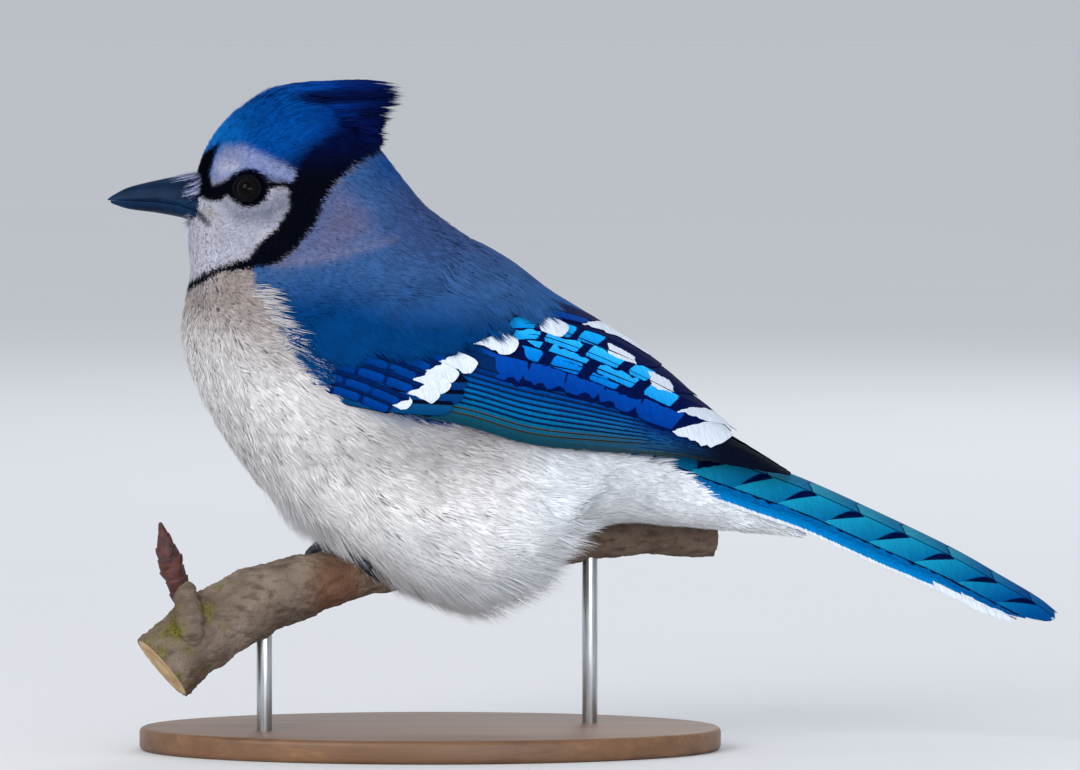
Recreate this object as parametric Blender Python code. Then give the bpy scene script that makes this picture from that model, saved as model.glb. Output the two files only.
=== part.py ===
"""A blue jay perched on a cut length of branch: a still, life-size model on a display stand.

Every size is in millimetres and is turned to metres where a mesh is made. The bird faces -X,
its left side is toward -Y, +Z is up, and the origin is the middle of the stand's underside.
The trunk of the bird is lofted whole, from the crown to the tip of the undertail, and is then
parted by thin plane cuts into crest, head, neck, torso, tail and undertail.
"""

import math

import bmesh
import bpy
from mathutils import Vector
from mathutils.bvhtree import BVHTree

MM = 0.001
GAP = 0.3  # kept between two nodes that touch
WALL_GAP = 0.35  # kept round a piece that sits in a hole or on a round one
VANE = 0.6  # thickness of a feather's vane

# The trunk: each section runs from a point on the belly line to one on the back line, given
# as (x, z), then its half width and how far down the section it is widest.
CROWN_TOP = (-37.0, 172.8)
SECTIONS = (
    ((-44.0, 170.6), (-30.0, 171.6), 5.5, 0.50),
    ((-50.0, 166.6), (-23.5, 169.0), 9.5, 0.48),
    ((-56.0, 160.6), (-18.6, 163.8), 13.2, 0.46),
    ((-60.4, 152.0), (-15.1, 159.2), 15.5, 0.45),
    ((-62.4, 143.0), (-13.0, 156.8), 16.2, 0.45),
    ((-63.4, 133.1), (-10.7, 154.3), 17.5, 0.47),
    ((-63.0, 124.5), (-7.3, 150.2), 20.0, 0.50),
    ((-64.8, 115.0), (-1.6, 143.6), 25.0, 0.53),
    ((-65.4, 106.0), (4.6, 138.8), 29.0, 0.55),
    ((-61.3, 94.7), (14.6, 131.8), 31.5, 0.57),
    ((-53.0, 80.0), (26.2, 122.6), 33.0, 0.58),
    ((-39.7, 63.2), (37.0, 112.8), 33.0, 0.60),
    ((-21.0, 49.4), (46.0, 104.0), 32.0, 0.60),
    ((0.0, 39.0), (53.0, 97.4), 29.0, 0.58),
    ((12.5, 37.6), (57.0, 93.6), 26.0, 0.56),
    ((23.5, 43.5), (60.0, 90.8), 23.0, 0.54),
    ((34.0, 53.5), (62.4, 88.3), 19.5, 0.50),
    ((46.5, 59.6), (69.0, 83.8), 16.0, 0.50),
    ((62.5, 58.8), (76.5, 78.6), 12.0, 0.50),
    ((79.0, 57.2), (85.0, 72.6), 8.5, 0.50),
    ((91.0, 56.2), (93.0, 61.4), 5.0, 0.50),
)
UNDERTAIL_TIP = (99.0, 57.4)
RING_POINTS = 24
RINGS_PER_SECTION = 2

# The cuts that part the trunk, each a line in the side view.
CROWN_CUT = ((-60.0, 164.5), (-8.0, 151.0))
COLLAR_CUT = ((-62.6, 121.9), (-6.0, 148.8))
NECK_CUT = ((-65.5, 109.6), (1.3, 140.2))
RUMP_CUT = ((34.0, 53.5), (62.4, 88.3))
UNDERTAIL_CUT = ((44.8, 79.8), (98.7, 57.6))

# The head.
EYE_PLACE = (-47.2, 146.9)
EYE_RADIUS = 4.6
EYE_SHOWN_RADIUS = 3.5
LID_RADIUS = 0.75
LID_STEPS = 14
LID_SIDES = 5
EYE_LOOK_TURN = (-0.10, 0.5)  # how far the eye turns forward and outward from the face
SOCKET_ROOM = 0.45
BRISTLES_A_SIDE = 4
BRISTLE_ROOT = (-57.5, 1.6, 150.4)  # of the top one
BRISTLE_STEP = (1.1, 1.5)  # out and down from one to the next
BRISTLE_LENGTH = 10.0
BRISTLE_HALF_WIDTH = 1.0
BRISTLE_BOW = 0.9

# The bill, from the tip back to its seat in the head: x, ridge, mouth line, keel, half width.
BILL = (
    (-84.0, 143.9, 143.5, 143.3, 0.25),
    (-82.2, 145.1, 143.5, 142.4, 1.0),
    (-78.3, 147.0, 143.5, 141.2, 2.2),
    (-71.0, 148.6, 143.4, 140.4, 3.6),
    (-64.0, 149.8, 143.1, 140.1, 4.7),
    (-58.0, 150.4, 142.3, 138.8, 5.2),
)
BILL_ARC_STEPS = 8
LOWER_BILL_SETBACK = 0.8

# The crest, tier by tier: root and tip in the side view, bow, spread of the roots, vanes.
CREST_TIERS = (
    ((-39.0, 169.6), (-8.4, 173.2), 3.4, 6.0, 5),
    ((-33.0, 168.6), (-8.2, 170.0), 2.2, 7.0, 4),
    ((-29.0, 166.0), (-9.8, 166.4), 1.2, 7.5, 3),
    ((-26.0, 163.0), (-11.8, 162.4), 0.8, 8.0, 4),
    ((-24.0, 159.6), (-12.0, 158.4), 0.4, 7.5, 3),
)
CREST_TIP_SPREAD = 0.45
CREST_VANE_HALF_WIDTH = 2.6

# The wing's arm: x, lower edge and upper edge of the smooth core that carries the feathers.
ARM = (
    (-37.5, 102.0, 107.0),
    (-33.0, 97.0, 112.5),
    (-25.0, 92.5, 117.5),
    (-15.0, 89.5, 120.5),
    (-5.0, 87.5, 121.5),
    (5.0, 86.0, 120.5),
    (14.0, 85.5, 117.5),
    (21.0, 88.0, 112.0),
)
ARM_STEPS = 6
ARM_THICKNESS = 3.4
ARM_CLEARANCE = 0.65

# The wing's feathers: root (x, z), tip (x, y, z) with y outward, tilt of the face from
# level, bow, inner and outer half widths.
TERTIALS = (
    ((17.0, 114.0), (52.7, 5.0, 105.4), 20.0, 2.6, 8.5, 8.0),
    ((15.5, 111.2), (51.9, 15.5, 99.8), 38.0, 2.6, 8.0, 6.5),
    ((14.0, 108.4), (61.3, 12.3, 94.2), 44.0, 3.0, 8.0, 6.0),
)
SECONDARIES = (
    ((13.0, 105.8), (77.8, 7.6, 83.2), 50.0, 3.4, 7.5, 4.8),
    ((12.4, 103.6), (62.0, 15.0, 85.8), 50.0, 3.2, 7.0, 4.4),
    ((11.8, 101.4), (76.2, 9.4, 80.2), 52.0, 3.6, 6.5, 4.2),
    ((11.0, 99.2), (73.0, 11.4, 77.8), 54.0, 3.8, 6.0, 4.0),
)
PRIMARY_COUNT = 6
PRIMARY_ROOTS = ((9.5, 96.8), (4.0, 88.0))
PRIMARY_TIPS = ((80.0, 12.0, 76.6), (92.7, 8.6, 72.8))
PRIMARY_TILT = 58.0
PRIMARY_BOW = 4.2
PRIMARY_HALF_WIDTHS = (5.6, 3.6)
COVERT_COUNT = 6
COVERT_ROOTS = ((-23.5, 96.0), (-2.6, 115.5))
COVERT_TIPS = ((-6.5, 90.4), (13.0, 107.2))
COVERT_LIFT = 3.2
COVERT_HALF_WIDTH = 3.2
VANE_SEGMENTS = 6

# The tail: its feathers lie one under another, the middle pair on top.
TAIL_LINE = ((60.0, 84.6), (93.7, 72.2), (125.5, 58.1), (150.0, 45.0), (164.2, 35.4))
TAIL_PAIRS = 6
TAIL_ROOT_STEP = 1.1
TAIL_TIP_STEP = 1.9
TAIL_FAN_SHARE = 0.7  # of its length, past which the feathers lie parallel
TAIL_MIDDLE_STEP = 0.6  # how far out the middle pair lies, in steps
TAIL_LAYER = 1.0
TAIL_MIDDLE_CLEAR = 0.85  # more room under the middle pair
TAIL_ROLL = 14.0
TAIL_OUTER_SHORTER = 11.0
TAIL_INNER_WIDTH = 4.6
TAIL_OUTER_WIDTH = 3.4
TAIL_SEGMENTS = 7

# The undertail's plumes: tip (x, y, z) and length.
PLUMES = (
    ((99.0, 1.4, 58.2), 24.0),
    ((94.0, 4.6, 57.2), 22.0),
    ((86.0, 7.2, 57.8), 20.0),
    ((77.0, 9.2, 59.2), 18.0),
)
PLUME_HALF_WIDTH = 3.0
PLUME_BOW = 0.6
PLUME_RISE = 2.5  # how much higher the root is than the tip
PLUME_CLOSE = 1.5  # how much nearer the middle the root is than the tip

# The branch: x, z and radius along it. It runs away from the bird's left side.
BRANCH = (
    (-69.2, 23.0, 9.7),
    (-60.0, 30.8, 9.7),
    (-47.0, 38.6, 9.4),
    (-33.9, 43.1, 8.4),
    (-20.9, 46.2, 6.8),
    (-7.8, 48.3, 6.3),
    (18.3, 50.9, 5.7),
    (44.4, 54.6, 5.5),
    (57.4, 55.0, 5.0),
    (74.4, 53.0, 4.4),
)
BRANCH_SWING = 0.30  # how far it moves along Y for each millimetre along X
BRANCH_SIDES = 14
BRANCH_RINGS_PER_SECTION = 3
BRANCH_SWELL = (0.025, 0.015)  # two waves in its girth, as shares of the radius
BUD_PATH = ((-61.0, 33.0), (-65.0, 43.0), (-68.0, 51.5), (-70.0, 60.3))
BUD_RADII = (2.6, 2.4, 2.7, 0.4)

# The feet.
FOOT_X = {"leg_left": 2.0, "leg_right": -23.0}
TOE_RADIUS = 1.5
TOE_ARCH = 0.35  # how far a toe's middle stands off the bark
TOE_STEPS = 6
CLAW_LENGTH = 3.6
TARSUS_TOP = 16.0
TARSUS_LEAN = 2.0  # how far back its top is from the foot
TARSUS_RADIUS = 1.7
# Each toe's end: degrees round the branch and millimetres along it, ahead being negative.
TOE_ENDS = ((24.0, -11.5), (84.0, -8.5), (100.0, -0.5), (-88.0, 5.5))

# The trough in the belly that the branch and the feet lie in.
CHANNEL_START = -58.0
CHANNEL_MIDDLE = -3.0  # of the room for a foot, ahead of its shank
CHANNEL_PAST_END = 2.0
CHANNEL_DEPTH = 30.0
CHANNEL_ROOM = 0.7  # all round the bark
FOOT_ROOM = 4.1  # more of it at each foot, for the toes
FOOT_REACH = 17.0  # how far each side of a foot's middle that room goes

# The stand.
BASE_SEMI_AXES = (76.0, 48.0)
BASE_THICKNESS = 6.0
BASE_EDGE = 1.4
ROD_RADIUS = 2.0
ROD_X = {"stand_rod_front": -43.0, "stand_rod_back": 42.0}
SOCKET_DEPTH = 3.0


def clear_scene():
    for thing in list(bpy.data.objects):
        bpy.data.objects.remove(thing, do_unlink=True)


def painted(name, colour, roughness, metallic=0.0):
    """A Principled material in one colour."""
    finish = bpy.data.materials.new(name)
    finish.use_nodes = True
    shader = finish.node_tree.nodes["Principled BSDF"]
    shader.inputs["Base Color"].default_value = (*colour, 1.0)
    shader.inputs["Roughness"].default_value = roughness
    shader.inputs["Metallic"].default_value = metallic
    return finish


def mixed(a, b, share):
    return a + (b - a) * share


def smooth_line(points, steps):
    """Points of a Catmull-Rom curve through tuples of numbers, each stretch in equal steps."""
    rows = [Vector(p) for p in points]
    rows = [2 * rows[0] - rows[1], *rows, 2 * rows[-1] - rows[-2]]
    line = []
    for a, b, c, d in zip(rows, rows[1:], rows[2:], rows[3:]):
        for i in range(steps):
            t = i / steps
            near = (c - a) * t
            bend = (2 * a - 5 * b + 4 * c - d) * t * t
            turn = (3 * b - a - 3 * c + d) * t * t * t
            line.append(b + 0.5 * (near + bend + turn))
    line.append(rows[-2])
    return line


def new_object(name, bm):
    """The bmesh, in millimetres, as an object in metres."""
    bmesh.ops.scale(bm, vec=(MM, MM, MM), verts=bm.verts)
    bmesh.ops.recalc_face_normals(bm, faces=bm.faces)
    mesh = bpy.data.meshes.new(name)
    bm.to_mesh(mesh)
    bm.free()
    thing = bpy.data.objects.new(name, mesh)
    bpy.context.scene.collection.objects.link(thing)
    return thing


def lofted(rings, start=None, end=None):
    """A closed bmesh through rings of points, with a pole at each end or a flat cap."""
    bm = bmesh.new()
    loops = [[bm.verts.new(p) for p in ring] for ring in rings]
    count = len(loops[0])
    for low, high in zip(loops, loops[1:]):
        for i in range(count):
            j = (i + 1) % count
            bm.faces.new((low[i], low[j], high[j], high[i]))
    for loop, pole in ((loops[0], start), (loops[-1], end)):
        if pole is None:
            bm.faces.new(loop)
            continue
        top = bm.verts.new(pole)
        for i in range(count):
            bm.faces.new((loop[i], loop[(i + 1) % count], top))
    return bm


def tube(name, points, radii, sides, grow=0.0):
    """A round tube of varying radius through 3-D points."""
    points = [Vector(p) for p in points]
    rings = []
    side = Vector((0.0, 1.0, 0.0))
    for i, point in enumerate(points):
        ahead = points[min(i + 1, len(points) - 1)] - points[max(i - 1, 0)]
        ahead.normalize()
        side = (side - ahead * side.dot(ahead)).normalized()
        other = ahead.cross(side)
        ring = []
        for k in range(sides):
            turn = 2 * math.pi * k / sides
            spoke = side * math.cos(turn) + other * math.sin(turn)
            ring.append(point + spoke * (radii[i] + grow))
        rings.append(ring)
    return new_object(name, lofted(rings))


def applied(thing):
    """Replaces the object's mesh by what its modifiers make of it."""
    graph = bpy.context.evaluated_depsgraph_get()
    graph.update()
    made = bpy.data.meshes.new_from_object(thing.evaluated_get(graph))
    thing.modifiers.clear()
    thing.data = made


def keep_largest(thing):
    """Deletes every closed surface of the mesh but the one of the largest volume."""
    bm = bmesh.new()
    bm.from_mesh(thing.data)
    bmesh.ops.triangulate(bm, faces=bm.faces)
    bm.verts.ensure_lookup_table()
    seen = set()
    shells = []
    for first in bm.verts:
        if first.index in seen:
            continue
        seen.add(first.index)
        shell = []
        queue = [first]
        while queue:
            vert = queue.pop()
            shell.append(vert)
            for edge in vert.link_edges:
                other = edge.other_vert(vert)
                if other.index not in seen:
                    seen.add(other.index)
                    queue.append(other)
        faces = {face for vert in shell for face in vert.link_faces}
        volume = sum(f.verts[0].co.dot(f.verts[1].co.cross(f.verts[2].co)) for f in faces)
        shells.append((volume, shell))
    shells.sort(key=lambda item: item[0], reverse=True)
    dropped = [vert for _, shell in shells[1:] for vert in shell]
    bmesh.ops.delete(bm, geom=dropped, context="VERTS")
    bm.to_mesh(thing.data)
    bm.free()


def combined(thing, others, operation, solver="EXACT"):
    """One Boolean of the object with all the others, which are then removed."""
    group = bpy.data.collections.new(thing.name + "_pieces")
    for other in others:
        group.objects.link(other)
    boolean = thing.modifiers.new("pieces", "BOOLEAN")
    boolean.operand_type = "COLLECTION"
    boolean.collection = group
    boolean.operation = operation
    boolean.solver = solver
    applied(thing)
    for other in others:
        bpy.data.objects.remove(other, do_unlink=True)
    bpy.data.collections.remove(group)
    keep_largest(thing)
    return thing


def coated(thing, finish):
    """Gives the finished mesh its one material, on every face."""
    thing.data.materials.clear()
    thing.data.materials.append(finish)
    for face in thing.data.polygons:
        face.material_index = 0
        face.use_smooth = True
    thing.data.set_sharp_from_angle(angle=math.radians(35.0))
    return thing


def trunk_ring(belly, back, half_width, widest):
    """One section of the trunk: two half ellipses that meet on its widest line."""
    low = Vector((belly[0], 0.0, belly[1]))
    high = Vector((back[0], 0.0, back[1]))
    ring = []
    for i in range(RING_POINTS):
        turn = 2 * math.pi * i / RING_POINTS
        lean = math.cos(turn)
        down = widest * (1 - lean) if lean > 0 else widest - (1 - widest) * lean
        point = high.lerp(low, down)
        point.y = half_width * math.sin(turn)
        ring.append(point)
    return ring


def whole_trunk():
    rows = [(*belly, *back, half, widest) for belly, back, half, widest in SECTIONS]
    rings = []
    for row in smooth_line(rows, RINGS_PER_SECTION):
        rings.append(trunk_ring(row[0:2], row[2:4], row[4], row[5]))
    crown = (CROWN_TOP[0], 0.0, CROWN_TOP[1])
    tip = (UNDERTAIL_TIP[0], 0.0, UNDERTAIL_TIP[1])
    return new_object("trunk", lofted(rings, crown, tip))


def cut_plane(line):
    """The point and normal, in metres, of a cut: the normal is on the line's left."""
    start = Vector((line[0][0], 0.0, line[0][1])) * MM
    end = Vector((line[1][0], 0.0, line[1][1])) * MM
    along = (end - start).normalized()
    return start, Vector((-along.z, 0.0, along.x))


def parted(trunk, name, above=(), below=()):
    """A copy of the trunk that keeps what is above some cuts and below others."""
    bm = bmesh.new()
    bm.from_mesh(trunk.data)
    sides = [(line, 1) for line in above] + [(line, -1) for line in below]
    for line, side in sides:
        point, normal = cut_plane(line)
        normal *= side
        bmesh.ops.bisect_plane(
            bm,
            geom=[*bm.verts, *bm.edges, *bm.faces],
            dist=1e-7,
            plane_co=point + normal * GAP * MM / 2,
            plane_no=normal,
            clear_inner=True,
        )
        rim = [edge for edge in bm.edges if edge.is_boundary]
        bmesh.ops.holes_fill(bm, edges=rim, sides=0)
    bmesh.ops.triangulate(bm, faces=[f for f in bm.faces if len(f.verts) > 4])
    mesh = bpy.data.meshes.new(name)
    bm.to_mesh(mesh)
    bm.free()
    thing = bpy.data.objects.new(name, mesh)
    bpy.context.scene.collection.objects.link(thing)
    return thing


def surface_of(thing):
    """A search tree over the object's faces, in metres."""
    bm = bmesh.new()
    bm.from_mesh(thing.data)
    bmesh.ops.triangulate(bm, faces=bm.faces)
    tree = BVHTree.FromBMesh(bm)
    bm.free()
    return tree


def side_width(tree, x, z):
    """How far out the surface is, on +Y, at a point of the side view."""
    start = Vector((x * MM, 0.2, z * MM))
    place, _, _, _ = tree.ray_cast(start, Vector((0.0, -1.0, 0.0)))
    return place.y / MM if place is not None else 0.0


def pushed_out(tree, point, margin):
    """The point, moved off the surface where it is nearer than the margin or inside."""
    place, normal, _, _ = tree.find_nearest(point * MM)
    height = (point * MM - place).dot(normal)
    if height < margin * MM:
        return (place + normal * margin * MM) / MM
    return point


def vane_width(share):
    """A feather's width along its length: a narrow root, a broad vane and a round tip."""
    root = 0.45 + 0.55 * min(1.0, share / 0.3)
    tip = math.sqrt(max(0.0, 1.0 - max(0.0, (share - 0.72) / 0.28) ** 2.4))
    return root * max(tip, 0.12)


def vane(name, path, facing, inner, outer, segments=VANE_SEGMENTS, clear=None, margin=0.0):
    """A feather's vane along a path, as a thin closed strip with like triangles on both faces.

    facing gives the direction of the face for each share of the length, inner and outer the
    half widths, and clear an optional surface that the vane stays off by the margin.
    """
    line = smooth_line(path, segments)
    count = len(line) - 1
    rows = [line[round(count * i / segments)] for i in range(segments + 1)]
    under = []
    over = []
    for i, point in enumerate(rows):
        share = i / segments
        ahead = rows[min(i + 1, segments)] - rows[max(i - 1, 0)]
        face = facing(share)
        face = (face - ahead.normalized() * face.dot(ahead.normalized())).normalized()
        across = face.cross(ahead).normalized()
        width = vane_width(share)
        for reach in (-inner, outer):
            place = point + across * reach * width
            if clear:
                place = pushed_out(clear, place, margin)
            under.append(place)
            over.append(place + face * VANE)
    bm = bmesh.new()
    low = [bm.verts.new(p) for p in under]
    high = [bm.verts.new(p) for p in over]
    for i in range(segments):
        a, b, c, d = 2 * i, 2 * i + 1, 2 * i + 3, 2 * i + 2
        for side in (low, high):
            bm.faces.new((side[a], side[b], side[c]))
            bm.faces.new((side[a], side[c], side[d]))
        bm.faces.new((low[a], low[d], high[d], high[a]))
        bm.faces.new((low[b], low[c], high[c], high[b]))
    last = 2 * segments
    bm.faces.new((low[0], low[1], high[1], high[0]))
    bm.faces.new((low[last], low[last + 1], high[last + 1], high[last]))
    return new_object(name, bm)


def bowed(root, tip, bow, facing):
    """A path from root to tip that bulges by the bow at its middle."""
    middle = root.lerp(tip, 0.5) + facing * bow
    return [root, middle, tip]


def bill_loft(name, upper, grow=0.0):
    """The upper or lower bill. Growing it gives the cutter of its seat."""
    rows = smooth_line(BILL, 2)
    rings = []
    for x, ridge, mouth, keel, half in rows:
        if upper:
            edge = mouth + GAP / 2 - grow
            crown = max(ridge, edge + 0.3) + grow
        else:
            x = max(x, BILL[0][0] + LOWER_BILL_SETBACK)
            edge = mouth - GAP / 2 + grow
            crown = min(keel, edge - 0.3) - grow
        half = half + grow
        ring = []
        for k in range(BILL_ARC_STEPS + 1):
            turn = math.pi * k / BILL_ARC_STEPS
            rise = math.sin(turn) ** 0.85 if 0 < k < BILL_ARC_STEPS else 0.0
            ring.append(Vector((x, -half * math.cos(turn), mixed(edge, crown, rise))))
        rings.append(ring)
    if not upper:
        rings = [ring for i, ring in enumerate(rings) if i == 0 or ring[0].x > rings[i - 1][0].x]
    if grow:
        rings[-1] = [p + Vector((grow, 0.0, 0.0)) for p in rings[-1]]
    return new_object(name, lofted(rings))


def eye_frame(head_tree, side):
    """The middle of the eyeball and the way it looks, on one side of the head."""
    x, z = EYE_PLACE
    start = Vector((x * MM, 0.1 * side, z * MM))
    place, normal, _, _ = head_tree.ray_cast(start, Vector((0.0, -side, 0.0)))
    forward, out = EYE_LOOK_TURN
    look = (normal + Vector((forward, side * out, 0.0))).normalized()
    sunk = math.sqrt(EYE_RADIUS**2 - EYE_SHOWN_RADIUS**2)
    return place / MM - look * sunk, look, sunk


def ball(name, centre, radius, segments, rings):
    bm = bmesh.new()
    bmesh.ops.create_uvsphere(bm, u_segments=segments, v_segments=rings, radius=radius)
    bmesh.ops.translate(bm, vec=centre, verts=bm.verts)
    return new_object(name, bm)


def lid_ring(name, centre, look):
    """The ring of lid round the eye."""
    side = look.cross(Vector((0.0, 0.0, 1.0))).normalized()
    up = side.cross(look)
    major = EYE_SHOWN_RADIUS + LID_RADIUS
    rings = []
    for i in range(LID_STEPS):
        turn = 2 * math.pi * i / LID_STEPS
        spoke = side * math.cos(turn) + up * math.sin(turn)
        ring = []
        for k in range(LID_SIDES):
            roll = 2 * math.pi * k / LID_SIDES
            reach = spoke * (major + LID_RADIUS * math.cos(roll))
            ring.append(centre + reach + look * LID_RADIUS * math.sin(roll))
        rings.append(ring)
    bm = bmesh.new()
    loops = [[bm.verts.new(p) for p in ring] for ring in rings]
    for i, loop in enumerate(loops):
        following = loops[(i + 1) % len(loops)]
        for k in range(LID_SIDES):
            j = (k + 1) % LID_SIDES
            bm.faces.new((loop[k], loop[j], following[j], following[k]))
    return new_object(name, bm)


def bristle(name, side, row):
    """A flat lock of the tuft that lies forward over the nostril."""
    x, y, z = BRISTLE_ROOT
    out, down = BRISTLE_STEP
    root = Vector((x, side * (y + out * row), z - down * row))
    tip = root + Vector((0.8 * row - BRISTLE_LENGTH, -side * 0.1 * (2 + row), -0.6 + 0.1 * row))
    outward = Vector((0.0, side * (0.4 + 0.25 * row), 0.8 - 0.2 * row)).normalized()
    path = bowed(root, tip, BRISTLE_BOW, outward)
    half = BRISTLE_HALF_WIDTH
    return vane(name, path, lambda share: outward, half, half, 3)


def build_head(trunk, finishes):
    head = parted(trunk, "head", above=[COLLAR_CUT], below=[CROWN_CUT])
    tree = surface_of(trunk)
    pieces = []
    sockets = []
    for side, name in ((-1, "left"), (1, "right")):
        centre, look, sunk = eye_frame(tree, side)
        eye = ball("eye_" + name, centre, EYE_RADIUS, 16, 8)
        coated(eye, finishes["eye"])
        sockets.append(ball("socket_" + name, centre, EYE_RADIUS + SOCKET_ROOM, 16, 8))
        pieces.append(lid_ring("lid_" + name, centre + look * sunk, look))
        for row in range(BRISTLES_A_SIDE):
            pieces.append(bristle("bristle_" + name + str(row), side, row))
    combined(head, pieces, "UNION")
    seats = [bill_loft("seat_upper", True, WALL_GAP), bill_loft("seat_lower", False, WALL_GAP)]
    combined(head, sockets + seats, "DIFFERENCE")
    coated(head, finishes["white"])
    for name, upper in (("bill_upper", True), ("bill_lower", False)):
        coated(bill_loft(name, upper), finishes["bill"])


def build_crest(trunk, finishes):
    crown = parted(trunk, "crown", above=[COLLAR_CUT])
    vanes = []
    for tier, (root, tip, bow, spread, count) in enumerate(CREST_TIERS):
        for i in range(count):
            y = spread * (2 * i / (count - 1) - 1)
            lean = math.radians(7.0 * y)
            outward = Vector((0.0, math.sin(lean), math.cos(lean)))
            drop = 0.05 * y * y
            start = Vector((root[0], y, root[1] - drop))
            stop = Vector((tip[0] - 0.25 * abs(y), y * CREST_TIP_SPREAD, tip[1] - 0.6 * drop))
            path = bowed(start, stop, bow, outward)
            half = CREST_VANE_HALF_WIDTH
            name = f"crest_{tier}_{i}"
            vanes.append(vane(name, path, lambda share, way=outward: way, half, half, 4))
    combined(crown, vanes, "UNION")
    coated(parted(crown, "crest", above=[CROWN_CUT]), finishes["blue"])
    bpy.data.objects.remove(crown, do_unlink=True)


def arm_core(name, tree, side):
    """The smooth core of a wing, a lens that lies against the flank."""
    rings = []
    rows = smooth_line(ARM, 2)
    for row in rows:
        x, low, high = row
        inner = []
        outer = []
        for k in range(ARM_STEPS + 1):
            share = k / ARM_STEPS
            z = mixed(low, high, share)
            y = side_width(tree, x, z) + ARM_CLEARANCE
            end = 0.35 if row in (rows[0], rows[-1]) else 1.0
            depth = 0.6 + end * (ARM_THICKNESS - 0.6) * math.sin(math.pi * share) ** 0.7
            inner.append(Vector((x, side * y, z)))
            outer.append(Vector((x, side * (y + depth), z)))
        rings.append(inner + outer[::-1])
    return new_object(name, lofted(rings))


def wing_vane(name, tree, side, root, tip, tilt, bow, inner, outer):
    """A flight feather from the arm to its tip."""
    angle = math.radians(tilt)
    facing = Vector((0.0, side * math.sin(angle), math.cos(angle)))
    depth = ARM_CLEARANCE + 0.4 * ARM_THICKNESS
    start = Vector((root[0], side * (side_width(tree, root[0], root[1]) + depth), root[1]))
    stop = Vector((tip[0], side * tip[1], tip[2]))
    path = bowed(start, stop, bow, facing)
    widths = (inner, outer) if side > 0 else (outer, inner)
    return vane(name, path, lambda share: facing, *widths, clear=tree, margin=ARM_CLEARANCE)


def covert_vane(name, tree, side, root, tip):
    """A greater covert, which lies on the arm."""
    path = []
    for share in (0.0, 0.5, 1.0):
        x = mixed(root[0], tip[0], share)
        z = mixed(root[1], tip[1], share)
        lift = ARM_CLEARANCE + COVERT_LIFT * mixed(0.55, 1.15, share)
        path.append(Vector((x, side * (side_width(tree, x, z) + lift), z)))
    facing = Vector((0.0, side * 0.86, 0.5))
    return vane(name, path, lambda share: facing, COVERT_HALF_WIDTH, COVERT_HALF_WIDTH, 4)


def build_wing(name, trunk, side, finishes):
    tree = surface_of(trunk)
    wing = arm_core(name, tree, side)
    vanes = []
    for i, feather in enumerate(TERTIALS + SECONDARIES):
        vanes.append(wing_vane(f"{name}_quill_{i}", tree, side, *feather))
    for i in range(PRIMARY_COUNT):
        share = i / (PRIMARY_COUNT - 1)
        root = [mixed(a, b, share) for a, b in zip(*PRIMARY_ROOTS)]
        tip = [mixed(a, b, share) for a, b in zip(*PRIMARY_TIPS)]
        shape = (root, tip, PRIMARY_TILT, PRIMARY_BOW, *PRIMARY_HALF_WIDTHS)
        vanes.append(wing_vane(f"{name}_primary_{i}", tree, side, *shape))
    for i in range(COVERT_COUNT):
        share = i / (COVERT_COUNT - 1)
        root = [mixed(a, b, share) for a, b in zip(*COVERT_ROOTS)]
        tip = [mixed(a, b, share) for a, b in zip(*COVERT_TIPS)]
        vanes.append(covert_vane(f"{name}_covert_{i}", tree, side, root, tip))
    combined(wing, vanes, "UNION")
    coated(wing, finishes["blue"])


def tail_vane(name, side, pair):
    """A tail feather, out from the middle pair and a layer lower each time."""
    roll = math.radians(TAIL_ROLL)
    across = Vector((0.0, math.cos(roll), math.sin(roll)))
    line = smooth_line(TAIL_LINE, 8)
    shorter = TAIL_OUTER_SHORTER * pair / (TAIL_PAIRS - 1)
    reach = 1.0 - shorter / (TAIL_LINE[-1][0] - TAIL_LINE[0][0])
    layer = TAIL_LAYER * pair + TAIL_MIDDLE_CLEAR if pair else 0.0
    if side > 0 and pair == 0:
        layer = TAIL_LAYER
    step_out = pair + TAIL_MIDDLE_STEP
    rows = []
    for i in range(TAIL_SEGMENTS + 1):
        share = reach * i / TAIL_SEGMENTS
        at = share * (len(line) - 1)
        first = min(int(at), len(line) - 2)
        middle = line[first].lerp(line[first + 1], at - first)
        ahead = (line[first + 1] - line[first]).normalized()
        up = Vector((-ahead[1], 0.0, ahead[0]))
        up = (up * math.cos(roll) - Vector((0.0, 1.0, 0.0)) * math.sin(roll)).normalized()
        fan = min(1.0, share / TAIL_FAN_SHARE)
        out = side * mixed(TAIL_ROOT_STEP, TAIL_TIP_STEP, fan) * step_out
        rows.append(Vector((middle[0], 0.0, middle[1])) + across * out - up * layer)
    inner = TAIL_INNER_WIDTH
    if pair:
        inner = min(inner, TAIL_TIP_STEP * step_out - GAP)
    left, right = (TAIL_OUTER_WIDTH, inner) if side < 0 else (inner, TAIL_OUTER_WIDTH)
    facing = Vector((0.3, -math.sin(roll), math.cos(roll)))
    return vane(name, rows, lambda share: facing, left, right, TAIL_SEGMENTS)


def build_tail(trunk, finishes):
    tail = parted(trunk, "tail", above=[UNDERTAIL_CUT], below=[RUMP_CUT])
    vanes = []
    for pair in range(TAIL_PAIRS):
        for side in (-1, 1):
            vanes.append(tail_vane(f"tail_{pair}_{side}", side, pair))
    combined(tail, vanes, "UNION")
    coated(tail, finishes["tail"])


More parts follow.
